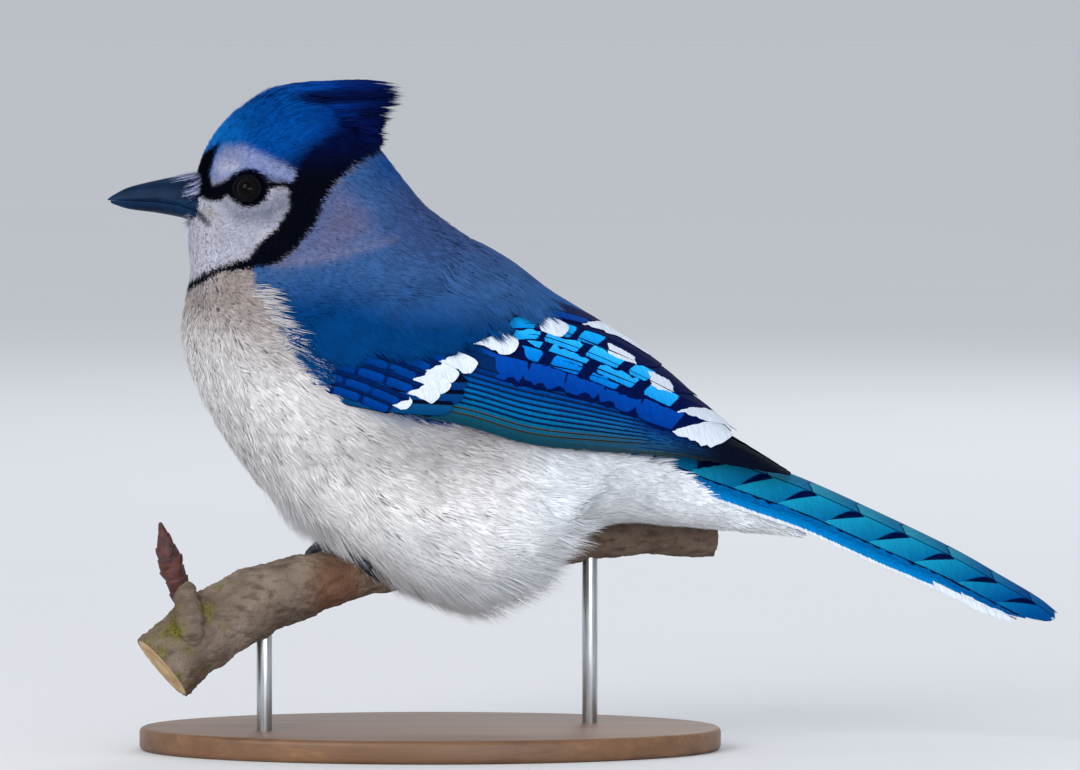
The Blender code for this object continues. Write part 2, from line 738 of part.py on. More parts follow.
def build_undertail(trunk, finishes):
    rear = parted(trunk, "rear", below=[NECK_CUT])
    combined(rear, [belly_channel()], "DIFFERENCE")
    plumes = []
    half = PLUME_HALF_WIDTH
    for i, (tip, length) in enumerate(PLUMES):
        for side in (-1, 1):
            stop = Vector((tip[0], side * tip[1], tip[2]))
            start = stop + Vector((-length, -side * PLUME_CLOSE, PLUME_RISE))
            facing = Vector((0.0, side * 0.6, -0.8))
            path = bowed(start, stop, PLUME_BOW, facing)
            name = f"plume_{i}_{side}"
            plumes.append(vane(name, path, lambda share, way=facing: way, half, half, 5))
    combined(rear, plumes, "UNION")
    coated(parted(rear, "undertail", below=[RUMP_CUT, UNDERTAIL_CUT]), finishes["white"])
    bpy.data.objects.remove(rear, do_unlink=True)


def branch_rows():
    return smooth_line(BRANCH, BRANCH_RINGS_PER_SECTION)


def branch_at(x):
    """The branch's axis point, its direction and its radius at a place along X."""
    rows = branch_rows()
    for a, b in zip(rows, rows[1:]):
        if a[0] <= x <= b[0]:
            share = (x - a[0]) / (b[0] - a[0])
            here = a.lerp(b, share)
            point = Vector((here[0], here[0] * BRANCH_SWING, here[1]))
            ahead = Vector((b[0] - a[0], (b[0] - a[0]) * BRANCH_SWING, b[1] - a[1]))
            return point, ahead.normalized(), here[2]
    raise ValueError("no branch there")


def build_perch(finishes):
    points = []
    radii = []
    for i, row in enumerate(branch_rows()):
        points.append((row[0], row[0] * BRANCH_SWING, row[1]))
        slow, quick = BRANCH_SWELL
        radii.append(row[2] * (1.0 + slow * math.sin(2.3 * i) + quick * math.sin(4.1 * i + 1.0)))
    perch = tube("perch", points, radii, BRANCH_SIDES)
    path = smooth_line([(x, x * BRANCH_SWING, z) for x, z in BUD_PATH], 2)
    girth = [row[0] for row in smooth_line([(r, 0.0) for r in BUD_RADII], 2)]
    bud = tube("bud", path, girth, 8)
    combined(perch, [bud], "UNION")
    holes = []
    for name, x in ROD_X.items():
        point, _, radius = branch_at(x)
        bottom = Vector((point.x, point.y, point.z - 2 * radius))
        top = Vector((point.x, point.y, rod_top(x) + GAP))
        holes.append(tube(name + "_hole", [bottom, top], [ROD_RADIUS] * 2, 16, WALL_GAP))
    combined(perch, holes, "DIFFERENCE")
    coated(perch, finishes["bark"])


def rod_top(x):
    """The top of a rod, in its socket in the branch."""
    point, _, radius = branch_at(x)
    return point.z - radius + SOCKET_DEPTH


def build_stand(finishes):
    bm = bmesh.new()
    bmesh.ops.create_circle(bm, cap_ends=True, segments=48, radius=1.0)
    bmesh.ops.scale(bm, vec=(*BASE_SEMI_AXES, 1.0), verts=bm.verts)
    made = bmesh.ops.extrude_face_region(bm, geom=bm.faces[:])
    top = [v for v in made["geom"] if isinstance(v, bmesh.types.BMVert)]
    bmesh.ops.translate(bm, vec=(0.0, 0.0, BASE_THICKNESS), verts=top)
    rim = [e for e in bm.edges if all(v.co.z > BASE_THICKNESS / 2 for v in e.verts)]
    bmesh.ops.bevel(
        bm, geom=rim, offset=BASE_EDGE, affect="EDGES", segments=2, profile=0.5, material=-1
    )
    base = new_object("stand_base", bm)
    holes = []
    for name, x in ROD_X.items():
        place = branch_at(x)[0]
        foot = BASE_THICKNESS - SOCKET_DEPTH
        bottom = Vector((place.x, place.y, foot))
        top = Vector((place.x, place.y, rod_top(x)))
        coated(tube(name, [bottom, top], [ROD_RADIUS] * 2, 16), finishes["steel"])
        deeper = bottom - Vector((0.0, 0.0, GAP))
        above = Vector((place.x, place.y, 2 * BASE_THICKNESS))
        holes.append(tube(name + "_seat", [deeper, above], [ROD_RADIUS] * 2, 16, WALL_GAP))
    combined(base, holes, "DIFFERENCE")
    coated(base, finishes["wood"])


def foot_frame(x):
    point, ahead, radius = branch_at(x)
    up = (Vector((0.0, 0.0, 1.0)) - ahead * ahead.z).normalized()
    side = ahead.cross(up).normalized()
    return point, ahead, up, side, radius


def round_branch(x, turn, along, height, near):
    """A point at an angle round the branch and a distance along it, height off its bark."""
    _, ahead, up, side, _ = foot_frame(x)
    point, _, radius = branch_at(x + along)
    spoke = up * math.cos(turn) + side * math.sin(turn) * near
    return point + spoke * (radius + height)


def leg_path(x):
    """The shank's path, from the foot up into the belly."""
    _, _, up, _, radius = foot_frame(x)
    foot = branch_at(x)[0] + up * (radius + TOE_RADIUS + WALL_GAP)
    ankle = foot + Vector((0.75 * TARSUS_LEAN, 0.0, TARSUS_TOP / 2))
    return [foot, ankle, foot + Vector((TARSUS_LEAN, 0.0, TARSUS_TOP))]


def build_leg(name, finishes):
    x = FOOT_X[name]
    near = 1 if name == "leg_left" else -1
    leg = tube(name, leg_path(x), [TARSUS_RADIUS * 1.15, TARSUS_RADIUS, TARSUS_RADIUS * 1.1], 8)
    toes = []
    for i, (angle, along) in enumerate(TOE_ENDS):
        path = []
        radii = []
        for k in range(TOE_STEPS + 1):
            share = k / TOE_STEPS
            height = TOE_RADIUS + WALL_GAP + TOE_ARCH * math.sin(math.pi * share)
            turn = math.radians(angle) * share
            path.append(round_branch(x, turn, along * share, height, near))
            radii.append(TOE_RADIUS * mixed(1.05, 0.72, share))
        claw = (path[-1] - path[-2]).normalized()
        inward = (branch_at(x + along)[0] - path[-1]).normalized()
        tip = path[-1] + claw * CLAW_LENGTH + inward * 0.05 * CLAW_LENGTH
        path += [path[-1].lerp(tip, 0.35), path[-1].lerp(tip, 0.7), tip]
        radii += [TOE_RADIUS * 0.5, TOE_RADIUS * 0.36, TOE_RADIUS * 0.12]
        toes.append(tube(f"{name}_toe_{i}", path, radii, 8))
    combined(leg, toes, "UNION")
    coated(leg, finishes["horn"])


def belly_channel():
    """What the branch and the feet keep clear of in the belly: a trough open at the bottom."""
    rings = []
    rows = branch_rows()
    middles = [x + CHANNEL_MIDDLE for x in FOOT_X.values()]
    for row in rows:
        x, z, radius = row
        if x < CHANNEL_START:
            continue
        if row is rows[-1]:
            x += CHANNEL_PAST_END
        swell = max(math.exp(-(((x - middle) / FOOT_REACH) ** 6)) for middle in middles)
        reach = radius + CHANNEL_ROOM + FOOT_ROOM * swell
        y = x * BRANCH_SWING
        ring = []
        for k in range(9):
            turn = math.pi * k / 8
            ring.append(Vector((x, y + reach * math.cos(turn), z + reach * math.sin(turn))))
        ring.append(Vector((x, y - reach, z - CHANNEL_DEPTH)))
        ring.append(Vector((x, y + reach, z - CHANNEL_DEPTH)))
        rings.append(ring)
    return new_object("channel", lofted(rings))


def build_torso(trunk, finishes):
    torso = parted(trunk, "torso", above=[RUMP_CUT], below=[NECK_CUT])
    cutters = [belly_channel()]
    for name, x in FOOT_X.items():
        path = leg_path(x)
        path.append(path[-1] + Vector((0.0, 0.0, GAP)))
        cutters.append(tube(name + "_sleeve", path, [TARSUS_RADIUS * 1.3] * 4, 8, WALL_GAP))
    combined(torso, cutters, "DIFFERENCE")
    coated(torso, finishes["grey"])


def main():
    clear_scene()
    finishes = {
        "blue": painted("blue feather", (0.03, 0.13, 0.42), 0.6),
        "tail": painted("tail feather", (0.03, 0.22, 0.55), 0.55),
        "white": painted("white feather", (0.72, 0.72, 0.78), 0.75),
        "grey": painted("breast feather", (0.58, 0.55, 0.54), 0.8),
        "bill": painted("bill horn", (0.02, 0.03, 0.05), 0.35),
        "horn": painted("foot scale", (0.03, 0.03, 0.035), 0.5),
        "eye": painted("eye", (0.01, 0.008, 0.008), 0.05),
        "bark": painted("bark", (0.2, 0.16, 0.13), 0.9),
        "wood": painted("stand wood", (0.1, 0.06, 0.035), 0.4),
        "steel": painted("rod steel", (0.45, 0.45, 0.46), 0.3, 1.0),
    }
    trunk = whole_trunk()
    build_head(trunk, finishes)
    build_crest(trunk, finishes)
    coated(parted(trunk, "neck", above=[NECK_CUT], below=[COLLAR_CUT]), finishes["white"])
    build_torso(trunk, finishes)
    build_wing("wing_left", trunk, -1, finishes)
    build_wing("wing_right", trunk, 1, finishes)
    build_tail(trunk, finishes)
    build_undertail(trunk, finishes)
    build_perch(finishes)
    for name in FOOT_X:
        build_leg(name, finishes)
    build_stand(finishes)
    bpy.data.objects.remove(trunk, do_unlink=True)


main()
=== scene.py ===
# %% [markdown]
# # A blue jay on a cut branch
# This script dresses a measured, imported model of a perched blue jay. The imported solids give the
# true size and place of every part, and nothing here moves them. What is added is plumage, bill,
# eyes, feet, bark and stand. All lengths below are millimetres until a mesh is made. The bird
# faces -X, its left side is toward -Y, and +Z is up.

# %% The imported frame
import math

import bmesh
import bpy
import numpy as np
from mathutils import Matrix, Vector, noise
from mathutils.bvhtree import BVHTree


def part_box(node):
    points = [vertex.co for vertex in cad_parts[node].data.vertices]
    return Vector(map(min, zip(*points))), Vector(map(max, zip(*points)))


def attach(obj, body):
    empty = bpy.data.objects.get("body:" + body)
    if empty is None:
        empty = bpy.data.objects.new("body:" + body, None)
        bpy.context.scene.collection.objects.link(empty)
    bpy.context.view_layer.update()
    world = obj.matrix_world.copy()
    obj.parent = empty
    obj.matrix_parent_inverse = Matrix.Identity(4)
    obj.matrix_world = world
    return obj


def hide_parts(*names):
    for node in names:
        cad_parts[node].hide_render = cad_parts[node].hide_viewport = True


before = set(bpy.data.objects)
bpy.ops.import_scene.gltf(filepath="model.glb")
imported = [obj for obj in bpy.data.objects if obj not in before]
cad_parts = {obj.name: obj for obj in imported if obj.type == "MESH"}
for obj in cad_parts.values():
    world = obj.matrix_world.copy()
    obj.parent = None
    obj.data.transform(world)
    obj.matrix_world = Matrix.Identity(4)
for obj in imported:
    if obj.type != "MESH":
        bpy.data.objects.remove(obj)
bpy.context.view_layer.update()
MM = 0.001
BODY = "root"
SIDES = ((-1, "left"), (1, "right"))  # the sign of Y on each side of the bird, and its name
rng = np.random.default_rng(7)

# %% [markdown]
# ## Helpers
# Colours are picked as sRGB hex, the way a colour picker shows them, but shaders work on linear
# light, so one function converts them. A second one adds a shader node, fills its inputs and
# links them, and a third starts a material.

# %% Colours and shader nodes
def srgb(code):
    """An sRGB hex colour as the linear RGBA that shaders use."""
    parts = np.array([int(code[i : i + 2], 16) for i in (1, 3, 5)]) / 255
    linear = np.where(parts <= 0.04045, parts / 12.92, ((parts + 0.055) / 1.055) ** 2.4)
    return (*linear.tolist(), 1.0)


def add(tree, kind, inputs=None, **settings):
    """A shader node of that kind with its settings, and its inputs filled, linked or coloured."""
    node = tree.nodes.new("ShaderNode" + kind)
    for name, value in settings.items():
        setattr(node, name, value)
    for name, value in (inputs or {}).items():
        socket = node.inputs[name]
        if isinstance(value, bpy.types.NodeSocket):
            tree.links.new(value, socket)
        else:
            socket.default_value = srgb(value) if isinstance(value, str) else value
    return node


def finish_of(name, **values):
    """A material with a Principled shader: its node tree and that shader."""
    material = bpy.data.materials.new(name)
    material.use_nodes = True
    shader = material.node_tree.nodes["Principled BSDF"]
    for key, value in values.items():
        shader.inputs[key.replace("_", " ")].default_value = value
    return material, material.node_tree, shader


print("white in linear light:", srgb("#ffffff"))

# %% [markdown]
# The materials mix colours, do sums, carry a value from one range to another, read what a mesh
# keeps, and add relief. Each of these is one short function.

# %% Nodes that the materials share
COLOUR_A, COLOUR_B, COLOUR_OUT = 6, 7, 2  # the Mix node's colour sockets, by number


def blended(tree, share, first, second, **settings):
    """The first colour turned into the second by a share."""
    node = add(tree, "Mix", {0: share, COLOUR_A: first, COLOUR_B: second},
               data_type="RGBA", **settings)
    return node.outputs[COLOUR_OUT]


def multiplied(tree, first, second):
    return blended(tree, 1.0, first, second, blend_type="MULTIPLY")


def maths(tree, operation, *values, **settings):
    """What a Math node makes of the values."""
    node = add(tree, "Math", dict(enumerate(values)), operation=operation, **settings)
    return node.outputs[0]


def ranged(tree, value, low, high, to_low=0.0, to_high=1.0, **settings):
    """A value's place between two limits, carried over to two others."""
    limits = {"From Min": low, "From Max": high, "To Min": to_low, "To Max": to_high}
    return add(tree, "MapRange", {"Value": value, **limits}, **settings).outputs["Result"]


def kept_in_mesh(tree, name, output="Vector"):
    """What the mesh keeps for each of its points under that name."""
    return add(tree, "Attribute", attribute_name=name).outputs[output]


def noise_shade(tree, scale, low=0.0, high=1.0, detail=4.0, stretch=(1, 1, 1), around=0.18):
    """A grey that wanders between two values over the object."""
    where = add(tree, "TexCoord").outputs["Object"]
    drawn = add(tree, "Mapping", {"Vector": where, "Scale": stretch}).outputs["Vector"]
    grey = add(tree, "TexNoise", {"Vector": drawn, "Scale": scale, "Detail": detail})
    return ranged(tree, grey.outputs["Fac"], 0.5 - around, 0.5 + around, low, high)


def coloured(tree, shader, colour):
    tree.links.new(colour, shader.inputs["Base Color"])


def bumped(tree, shader, height, depth_mm, strength=1.0):
    bump = add(tree, "Bump", {
        "Strength": strength, "Distance": depth_mm * MM, "Height": height})
    tree.links.new(bump.outputs["Normal"], shader.inputs["Normal"])


def mottled(name, scale, dark, light, bump=None, stretch=(1, 1, 1), **values):
    """A finish between two tones; bump gives the scale, depth and strength of its relief."""
    material, tree, shader = finish_of(name, **values)
    shade = noise_shade(tree, scale, stretch=stretch)
    coloured(tree, shader, blended(tree, shade, dark, light))
    if bump:
        bumped(tree, shader, noise_shade(tree, bump[0]), *bump[1:])
    return material


# %% [markdown]
# ## Meshes from arrays
# A coat of feathers has two hundred thousand like pieces. Adding them one by one would take
# minutes, so each kind is worked out as one array of points and written to a mesh in one go.
# The helper turns millimetres to metres, stores any attributes the material reads, and makes
# the piece ride on the bird's one body.

# %% A piece from arrays
def lodge(thing, nodes=()):
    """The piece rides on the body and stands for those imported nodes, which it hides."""
    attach(thing, BODY)
    if nodes:
        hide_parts(*nodes)
    print(thing.name, "faces:", len(thing.data.polygons))
    return thing


def placed(name, data):
    """An object of that data, put in the scene."""
    thing = bpy.data.objects.new(name, data)
    bpy.context.scene.collection.objects.link(thing)
    return thing


def aimed(thing, place, aim):
    """Stands the thing at a place in metres and turns it toward a point."""
    thing.location = place
    thing.rotation_euler = (Vector(aim) - Vector(place)).to_track_quat("-Z", "Y").to_euler()


def piece_from(name, points, corners, totals, material):
    """An object from points in mm, the corners of its faces in a row, and corners a face."""
    mesh = bpy.data.meshes.new(name)
    mesh.vertices.add(len(points))
    mesh.vertices.foreach_set("co", (points * MM).astype(np.float32).ravel())
    mesh.loops.add(len(corners))
    mesh.loops.foreach_set("vertex_index", corners.astype(np.int32))
    starts = np.concatenate([[0], np.cumsum(totals)[:-1]])
    mesh.polygons.add(len(totals))
    mesh.polygons.foreach_set("loop_start", starts.astype(np.int32))
    mesh.update(calc_edges=True)
    mesh.polygons.foreach_set("use_smooth", np.ones(len(totals), bool))
    mesh.materials.append(material)
    return placed(name, mesh)


def store(thing, name, kind, field, values):
    """Writes one value or colour for each point of the mesh."""
    attribute = thing.data.attributes.new(name, kind, "POINT")
    attribute.data.foreach_set(field, np.asarray(values, np.float32).ravel())


def unwrap(thing, name, places):
    """A UV map that gives each point of the mesh its place."""
    layer = thing.data.uv_layers.new(name=name)
    corners = np.empty(len(thing.data.loops), np.int32)
    thing.data.loops.foreach_get("vertex_index", corners)
    layer.data.foreach_set("uv", places[corners].astype(np.float32).ravel())


def piece_of(name, bm, material):
    """An object from a bmesh in mm, shaded smooth."""
    bmesh.ops.scale(bm, vec=(MM, MM, MM), verts=bm.verts)
    bmesh.ops.recalc_face_normals(bm, faces=bm.faces)
    mesh = bpy.data.meshes.new(name)
    bm.to_mesh(mesh)
    bm.free()
    mesh.materials.append(material)
    mesh.shade_smooth()
    return placed(name, mesh)


def bent_grid(places, weld):
    """A bmesh sheet bent onto a grid of places, with the points that meet welded."""
    across, around = places.shape[:2]
    bm = bmesh.new()
    bmesh.ops.create_grid(bm, x_segments=across - 1, y_segments=around - 1, size=1.0)
    for vert in bm.verts:
        i = round((vert.co.x + 1) / 2 * (across - 1))
        j = round((vert.co.y + 1) / 2 * (around - 1))
        vert.co = places[i, j]
    bmesh.ops.remove_doubles(bm, verts=bm.verts, dist=weld)
    return bm


# %% [markdown]
# The rest is drawn with a few small sums: a share between two values, a soft step, directions of
# length one, and a smooth curve through the rows of a table.

# %% Shares, steps and curves
def mixed(a, b, share):
    return a + (b - a) * share


def eased(low, high, value):
    """0 below low, 1 above high, and a smooth rise between them."""
    t = np.clip((value - low) / (high - low), 0.0, 1.0)
    return t * t * (3 - 2 * t)


def unit(vectors):
    return vectors / np.maximum(np.linalg.norm(vectors, axis=-1, keepdims=True), 1e-9)


def smooth_rows(table, place):
    """The rows of a table read at fractional places, on a Catmull-Rom curve."""
    table = np.asarray(table, float)
    table = np.vstack([2 * table[0] - table[1], table, 2 * table[-1] - table[-2]])
    place = np.clip(np.asarray(place, float), 0, len(table) - 3 - 1e-9)
    first = place.astype(int)
    t = (place - first)[..., None]
    a, b, c, d = (table[first + k] for k in range(4))
    bend = (2 * a - 5 * b + 4 * c - d) * t * t
    return b + 0.5 * ((c - a) * t + bend + (3 * b - a - 3 * c + d) * t**3)


def resampled(table, count):
    """The whole curve of a table, as that many rows."""
    return smooth_rows(table, np.linspace(0, len(table) - 1, count))


def run_along(line):
    """How far along a line in the side view each of its points is."""
    return np.concatenate([[0], np.cumsum(np.hypot(*np.diff(line, axis=0).T))])


print("sides:", SIDES)

# %% [markdown]
# ## The skin
# Under its feathers a bird is one smooth body. It is lofted through named sections from the
# crown to the tip of the undertail: each runs from a point in front or below to one behind or
# above, with a half width and the share of the way down where it is widest. A sheet of faces
# from `create_grid` is bent round these sections, which is quicker than bridging 200 rings,
# and its seam and poles are welded. The folded wing swells the flank. The skin lies inside
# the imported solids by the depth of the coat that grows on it.

# %% The trunk's sections
# front or belly (x, z), back (x, z), half width, widest share from the back
SECTIONS = (
    (-44.0, 170.6, -30.0, 171.6, 5.5, 0.50),
    (-50.0, 166.6, -23.5, 169.0, 9.5, 0.48),
    (-56.0, 160.6, -18.6, 163.8, 13.2, 0.46),
    (-60.4, 152.0, -15.1, 159.2, 15.5, 0.45),
    (-62.4, 143.0, -13.0, 156.8, 16.2, 0.45),
    (-63.4, 133.1, -10.7, 154.3, 17.5, 0.47),
    (-63.0, 124.5, -7.3, 150.2, 20.0, 0.50),
    (-64.8, 115.0, -1.6, 143.6, 25.0, 0.53),
    (-65.4, 106.0, 4.6, 138.8, 29.0, 0.55),
    (-61.3, 94.7, 14.6, 131.8, 31.5, 0.57),
    (-53.0, 80.0, 26.2, 122.6, 33.0, 0.58),
    (-39.7, 63.2, 37.0, 112.8, 33.0, 0.60),
    (-21.0, 49.4, 46.0, 104.0, 32.0, 0.60),
    (0.0, 39.0, 53.0, 97.4, 29.0, 0.58),
    (12.5, 37.6, 57.0, 93.6, 26.0, 0.56),
    (23.5, 43.5, 60.0, 90.8, 23.0, 0.54),
    (34.0, 53.5, 62.4, 88.3, 19.5, 0.50),
    (46.5, 59.6, 69.0, 83.8, 16.0, 0.50),
    (62.5, 58.8, 76.5, 78.6, 12.0, 0.50),
    (79.0, 57.2, 85.0, 72.6, 8.5, 0.50),
    (91.0, 56.2, 93.0, 61.4, 5.0, 0.50),
)
LAST = len(SECTIONS) - 1
CROWN_POLE = np.array((-37.0, 0.0, 172.8))
TAIL_POLE = np.array((99.0, 0.0, 57.4))
# how deep the coat is, section by section, with the crown's pole before and the tail's after
COAT_DEPTH = (1.2, 1.2, 1.2, 1.1, 1.0, 1.0, 1.2, 1.5, 1.9, 2.2, 2.4, 2.6, 2.8, 2.9, 3.0, 2.8)
COAT_DEPTH += (2.4, 1.8, 1.5, 1.3, 1.1, 0.9, 0.6)
RINGS = 230
RING_SIDES = 120


def trunk_point(place, turn):
    """A point of the plumage's outer surface: a section number and a turn from the back."""
    row = smooth_rows(SECTIONS, np.clip(place, 0, LAST))
    belly = np.stack([row[..., 0], np.zeros_like(turn), row[..., 1]], -1)
    back = np.stack([row[..., 2], np.zeros_like(turn), row[..., 3]], -1)
    lean = np.cos(turn)
    widest = row[..., 5]
    down = np.where(lean > 0, widest * (1 - lean), widest - (1 - widest) * lean)
    point = back + (belly - back) * down[..., None]
    point[..., 1] = row[..., 4] * np.sin(turn)
    middle = (belly + back) / 2
    for pole, past in ((CROWN_POLE, -place), (TAIL_POLE, place - LAST)):
        close = np.clip(past, 0, 1)[..., None] * math.pi / 2
        shrunk = middle + (point - middle) * np.cos(close) + (pole - middle) * np.sin(close)
        point = np.where(past[..., None] > 0, shrunk, point)
    return point


# %% [markdown]
# The folded wing lies against the flank. Its outer surface is a half ellipse across the bird,
# and these short tables give its half width, the height where it is widest, and the line of
# the back above it. The skin swells out to just under it where the arm lies, and the flight
# feathers further down are laid on the same surface.

# %% The folded wing's surface
# x, half width
WING_WIDTH = ((-36.5, 30.0), (-21, 34.5), (0, 36.5), (18, 35.5), (34, 32.0), (50, 27.0),
              (65, 21.0), (81, 15.5), (94, 11.0))
# x, height of the widest line
WING_MIDDLE = ((-36.5, 104.4), (0, 91.4), (34, 83.5), (65, 77.8), (94, 71.8))
# x, height of the back
BACK_LINE = ((-10.7, 154.0), (-1.6, 143.6), (6.8, 137.8), (13.3, 132.8), (21.7, 126.0),
             (30.8, 118.7), (40.7, 112.7), (53, 104.9), (62.4, 97.7), (67.9, 92.4),
             (71.8, 89.3), (78.3, 83.5), (94, 72.4))
# x, lower and upper edge of the arm
ARM = ((-37.5, 102.0, 107.0), (-33, 97, 112.5), (-25, 92.5, 117.5), (-15, 89.5, 120.5),
       (-5, 87.5, 121.5), (5, 86.0, 120.5), (14, 85.5, 117.5), (30, 88.0, 112.0))
ARM_SINK = 0.6
ARM_COAT_DEPTH = 1.1


def along(table, x, column=1):
    rows = np.array(table)
    return np.interp(x, rows[:, 0], rows[:, column])


def wing_half_width(x, z):
    """How far out the wing's surface is at a point of the side view."""
    middle = along(WING_MIDDLE, x)
    rise = (z - middle) / (along(BACK_LINE, x) - middle)
    return along(WING_WIDTH, x) * np.sqrt(np.clip(1 - rise * rise, 0, 1))


def on_arm(points):
    """How much a point lies where the wing's arm is, from 0 to 1."""
    x, z = points[..., 0], points[..., 2]
    low, high = along(ARM, x, 1), along(ARM, x, 2)
    share = eased(-41, -26, x) * (1 - eased(17, 29, x))
    return share * eased(low - 2, low + 7, z) * (1 - eased(high - 7, high + 6, z))


def swollen(points):
    """The trunk's points, moved out where the wing's arm lies on the flank."""
    x, y, z = points[..., 0], points[..., 1], points[..., 2]
    out = np.maximum(wing_half_width(x, z) - ARM_SINK - np.abs(y), 0) * on_arm(points)
    moved = points.copy()
    moved[..., 1] = y + np.sign(y) * out
    return moved


# %% [markdown]
# The plumage's outer surface is worked out on a grid of rings, with its normals. The skin is that
# surface drawn in by the depth of the coat.

# %% The skin's points and normals
ring_places = np.linspace(-1, LAST + 1, RINGS)
ring_turns = np.linspace(0, 2 * math.pi, RING_SIDES + 1)
place_grid, turn_grid = np.meshgrid(ring_places, ring_turns, indexing="ij")
outer = swollen(trunk_point(place_grid, turn_grid))
step_down = np.gradient(outer, axis=0)
step_round = np.gradient(outer, axis=1)
step_round[:, 0] = step_round[:, -1] = outer[:, 1] - outer[:, -2]
outward = unit(np.cross(step_down, step_round))
outward[0] = (0, 0, 1)
outward[-1] = unit(TAIL_POLE - outer[-4, 0])
facing_out = np.sign(np.sum(outward * (outer - outer.mean(1, keepdims=True)), -1))
outward *= np.where(facing_out < 0, -1, 1)[..., None]
depth = np.interp(ring_places, np.arange(-1, LAST + 2), COAT_DEPTH)[:, None]
depth = mixed(depth, ARM_COAT_DEPTH, on_arm(outer))
skin_points = outer - outward * depth[..., None]
print("skin from", skin_points.min((0, 1)).round(1), "to", skin_points.max((0, 1)).round(1))

# %% [markdown]
# ## The markings
# A jay's pattern is drawn by its feathers, so skin and feathers ask one function for their
# colour. Each marking is an outline in the side view, in millimetres, read off the bird, and a
# soft edge lets neighbouring barbs mingle as they do in life. Outlines in code stay sharp at
# any size and need no picture.

# %% Outlines of the markings, as x and z
BLACK_BAND = ((-10, 164), (-15.7, 166), (-20.9, 162.3), (-26, 159.2), (-31.3, 155.6), (-33.6, 152),
              (-35, 149), (-36.3, 147.5), (-36, 142), (-39, 137), (-44, 132.5), (-46.5, 129),
              (-51, 127.5), (-55.5, 126), (-59.5, 124), (-63.5, 121.5), (-68, 119), (-68, 117.6),
              (-62, 120.2), (-59, 122), (-54.5, 125), (-46.5, 126), (-39, 127.5), (-33.5, 132),
              (-29.5, 137), (-27, 143), (-25, 147), (-19.5, 152), (-13, 156), (-6, 158), (-4, 162))
LORE = ((-70, 152.5), (-61.9, 152.6), (-58.7, 156.3), (-54.3, 159.2), (-55.6, 155.5), (-56.9, 151),
        (-56.3, 147.6), (-52.2, 149.3), (-50.6, 151), (-49, 144), (-52.7, 145), (-54.3, 143.4),
        (-57.4, 143.6), (-60, 144.7), (-70, 147))
EYE_LINE = ((-47, 150.5), (-43, 149.6), (-40.5, 148.6), (-34, 148.6), (-34, 147), (-40.5, 147),
            (-43, 145.5))
BROW = ((-56.3, 147.4), (-56.9, 151), (-55.6, 155.3), (-53.2, 158), (-48.3, 158.2), (-43.8, 156.2),
        (-38.6, 153.8), (-34.5, 151.2), (-32, 148.8), (-36.5, 148.7), (-41.2, 149.7), (-44, 151.7),
        (-48.3, 152), (-52.2, 149.6))
FACE = ((-80, 151), (-58.5, 149.5), (-51, 146), (-47, 143.5), (-44, 144.5), (-40.5, 147),
        (-35, 147), (-35, 142), (-39, 137), (-44, 132.5), (-46.5, 129), (-51, 127.5),
        (-55.5, 126), (-59.5, 124), (-64, 121), (-80, 114))
GAPE_LINE = ((-63, 142.5), (-59, 140.6), (-56.6, 137.2), (-57.8, 137), (-60.5, 139.2), (-64, 140.8))
# the outline of the painted shade below the eye
SHADE_UNDER_EYE = ((-54, 144), (-49, 141.5), (-43, 143), (-35, 147), (-35, 142), (-41, 137.5), (-50, 139))
CROWN = ((-80, 151), (-62.5, 151), (-58, 150), (-50, 150), (-36, 148.5), (-32.5, 149), (-29, 154),
         (-22.5, 159.5), (-16, 164), (0, 163), (0, 190), (-80, 190))
BLUE_BACK = ((-46, 128.2), (-44.5, 121.5), (-41, 117.5), (-37, 111), (-34, 104.5), (-29.5, 99),
             (-24, 94.5), (-15.5, 90.5), (-2.5, 87), (10.5, 86), (26, 82), (44.5, 79), (65, 77),
             (110, 74), (110, 190), (-10, 190), (-10, 157), (-14, 156), (-20, 151.5),
             (-25.5, 146.5), (-27.5, 143), (-30, 137), (-34, 131.5), (-39, 127.6))
NECK_SIDE = ((-39, 127.4), (-33.5, 131.5), (-29.5, 137), (-27, 143.5), (-24, 148), (-16, 141),
             (-14, 135), (-24, 129.8), (-34, 128.6))
SHOULDER_LINE = ((-39, 128.3), (-34, 129.0), (-22, 131), (-8, 134.5), (-8, 133.4), (-22, 129.2),
                 (-34, 127.3), (-40, 127.2))
WING_BLUE = ((-42, 118), (-36, 121), (-22, 121.5), (-8, 118), (4, 117.5), (22, 116), (60, 100),
             (60, 60), (-40, 60))
CREST_STREAK = ((-36, 170.5), (-28, 172.0), (-18, 172.6), (-8, 172.5), (-8, 169.5), (-20, 168.6),
                (-30, 168.6))


# %% [markdown]
# A signed distance to an outline is negative inside it. A soft step over that distance is the
# marking's mask.

# %% From outline to colour
def reach(x, z, outline):
    """The distance of each point of the side view to an outline, negative inside."""
    corners = np.array(outline, float)
    nearest = np.full(x.shape, 1e9)
    within = np.zeros(x.shape, bool)
    for (ax, az), (bx, bz) in zip(corners, np.roll(corners, -1, 0)):
        run, rise = bx - ax, bz - az
        t = np.clip(((x - ax) * run + (z - az) * rise) / (run * run + rise * rise), 0, 1)
        nearest = np.minimum(nearest, np.hypot(x - ax - t * run, z - az - t * rise))
        if rise:
            crosses = (az > z) != (bz > z)
            within ^= crosses & (x < ax + (z - az) * run / rise)
    return np.where(within, -nearest, nearest)


def tone(code):
    return np.array(srgb(code)[:3])


# what is round: x, z and radius in the side view
EYE_BLACK = (-46.6, 147.0, 5.4)
GAPE = (-57.2, 140.0, 2.8)  # the ochre at the corner of the mouth


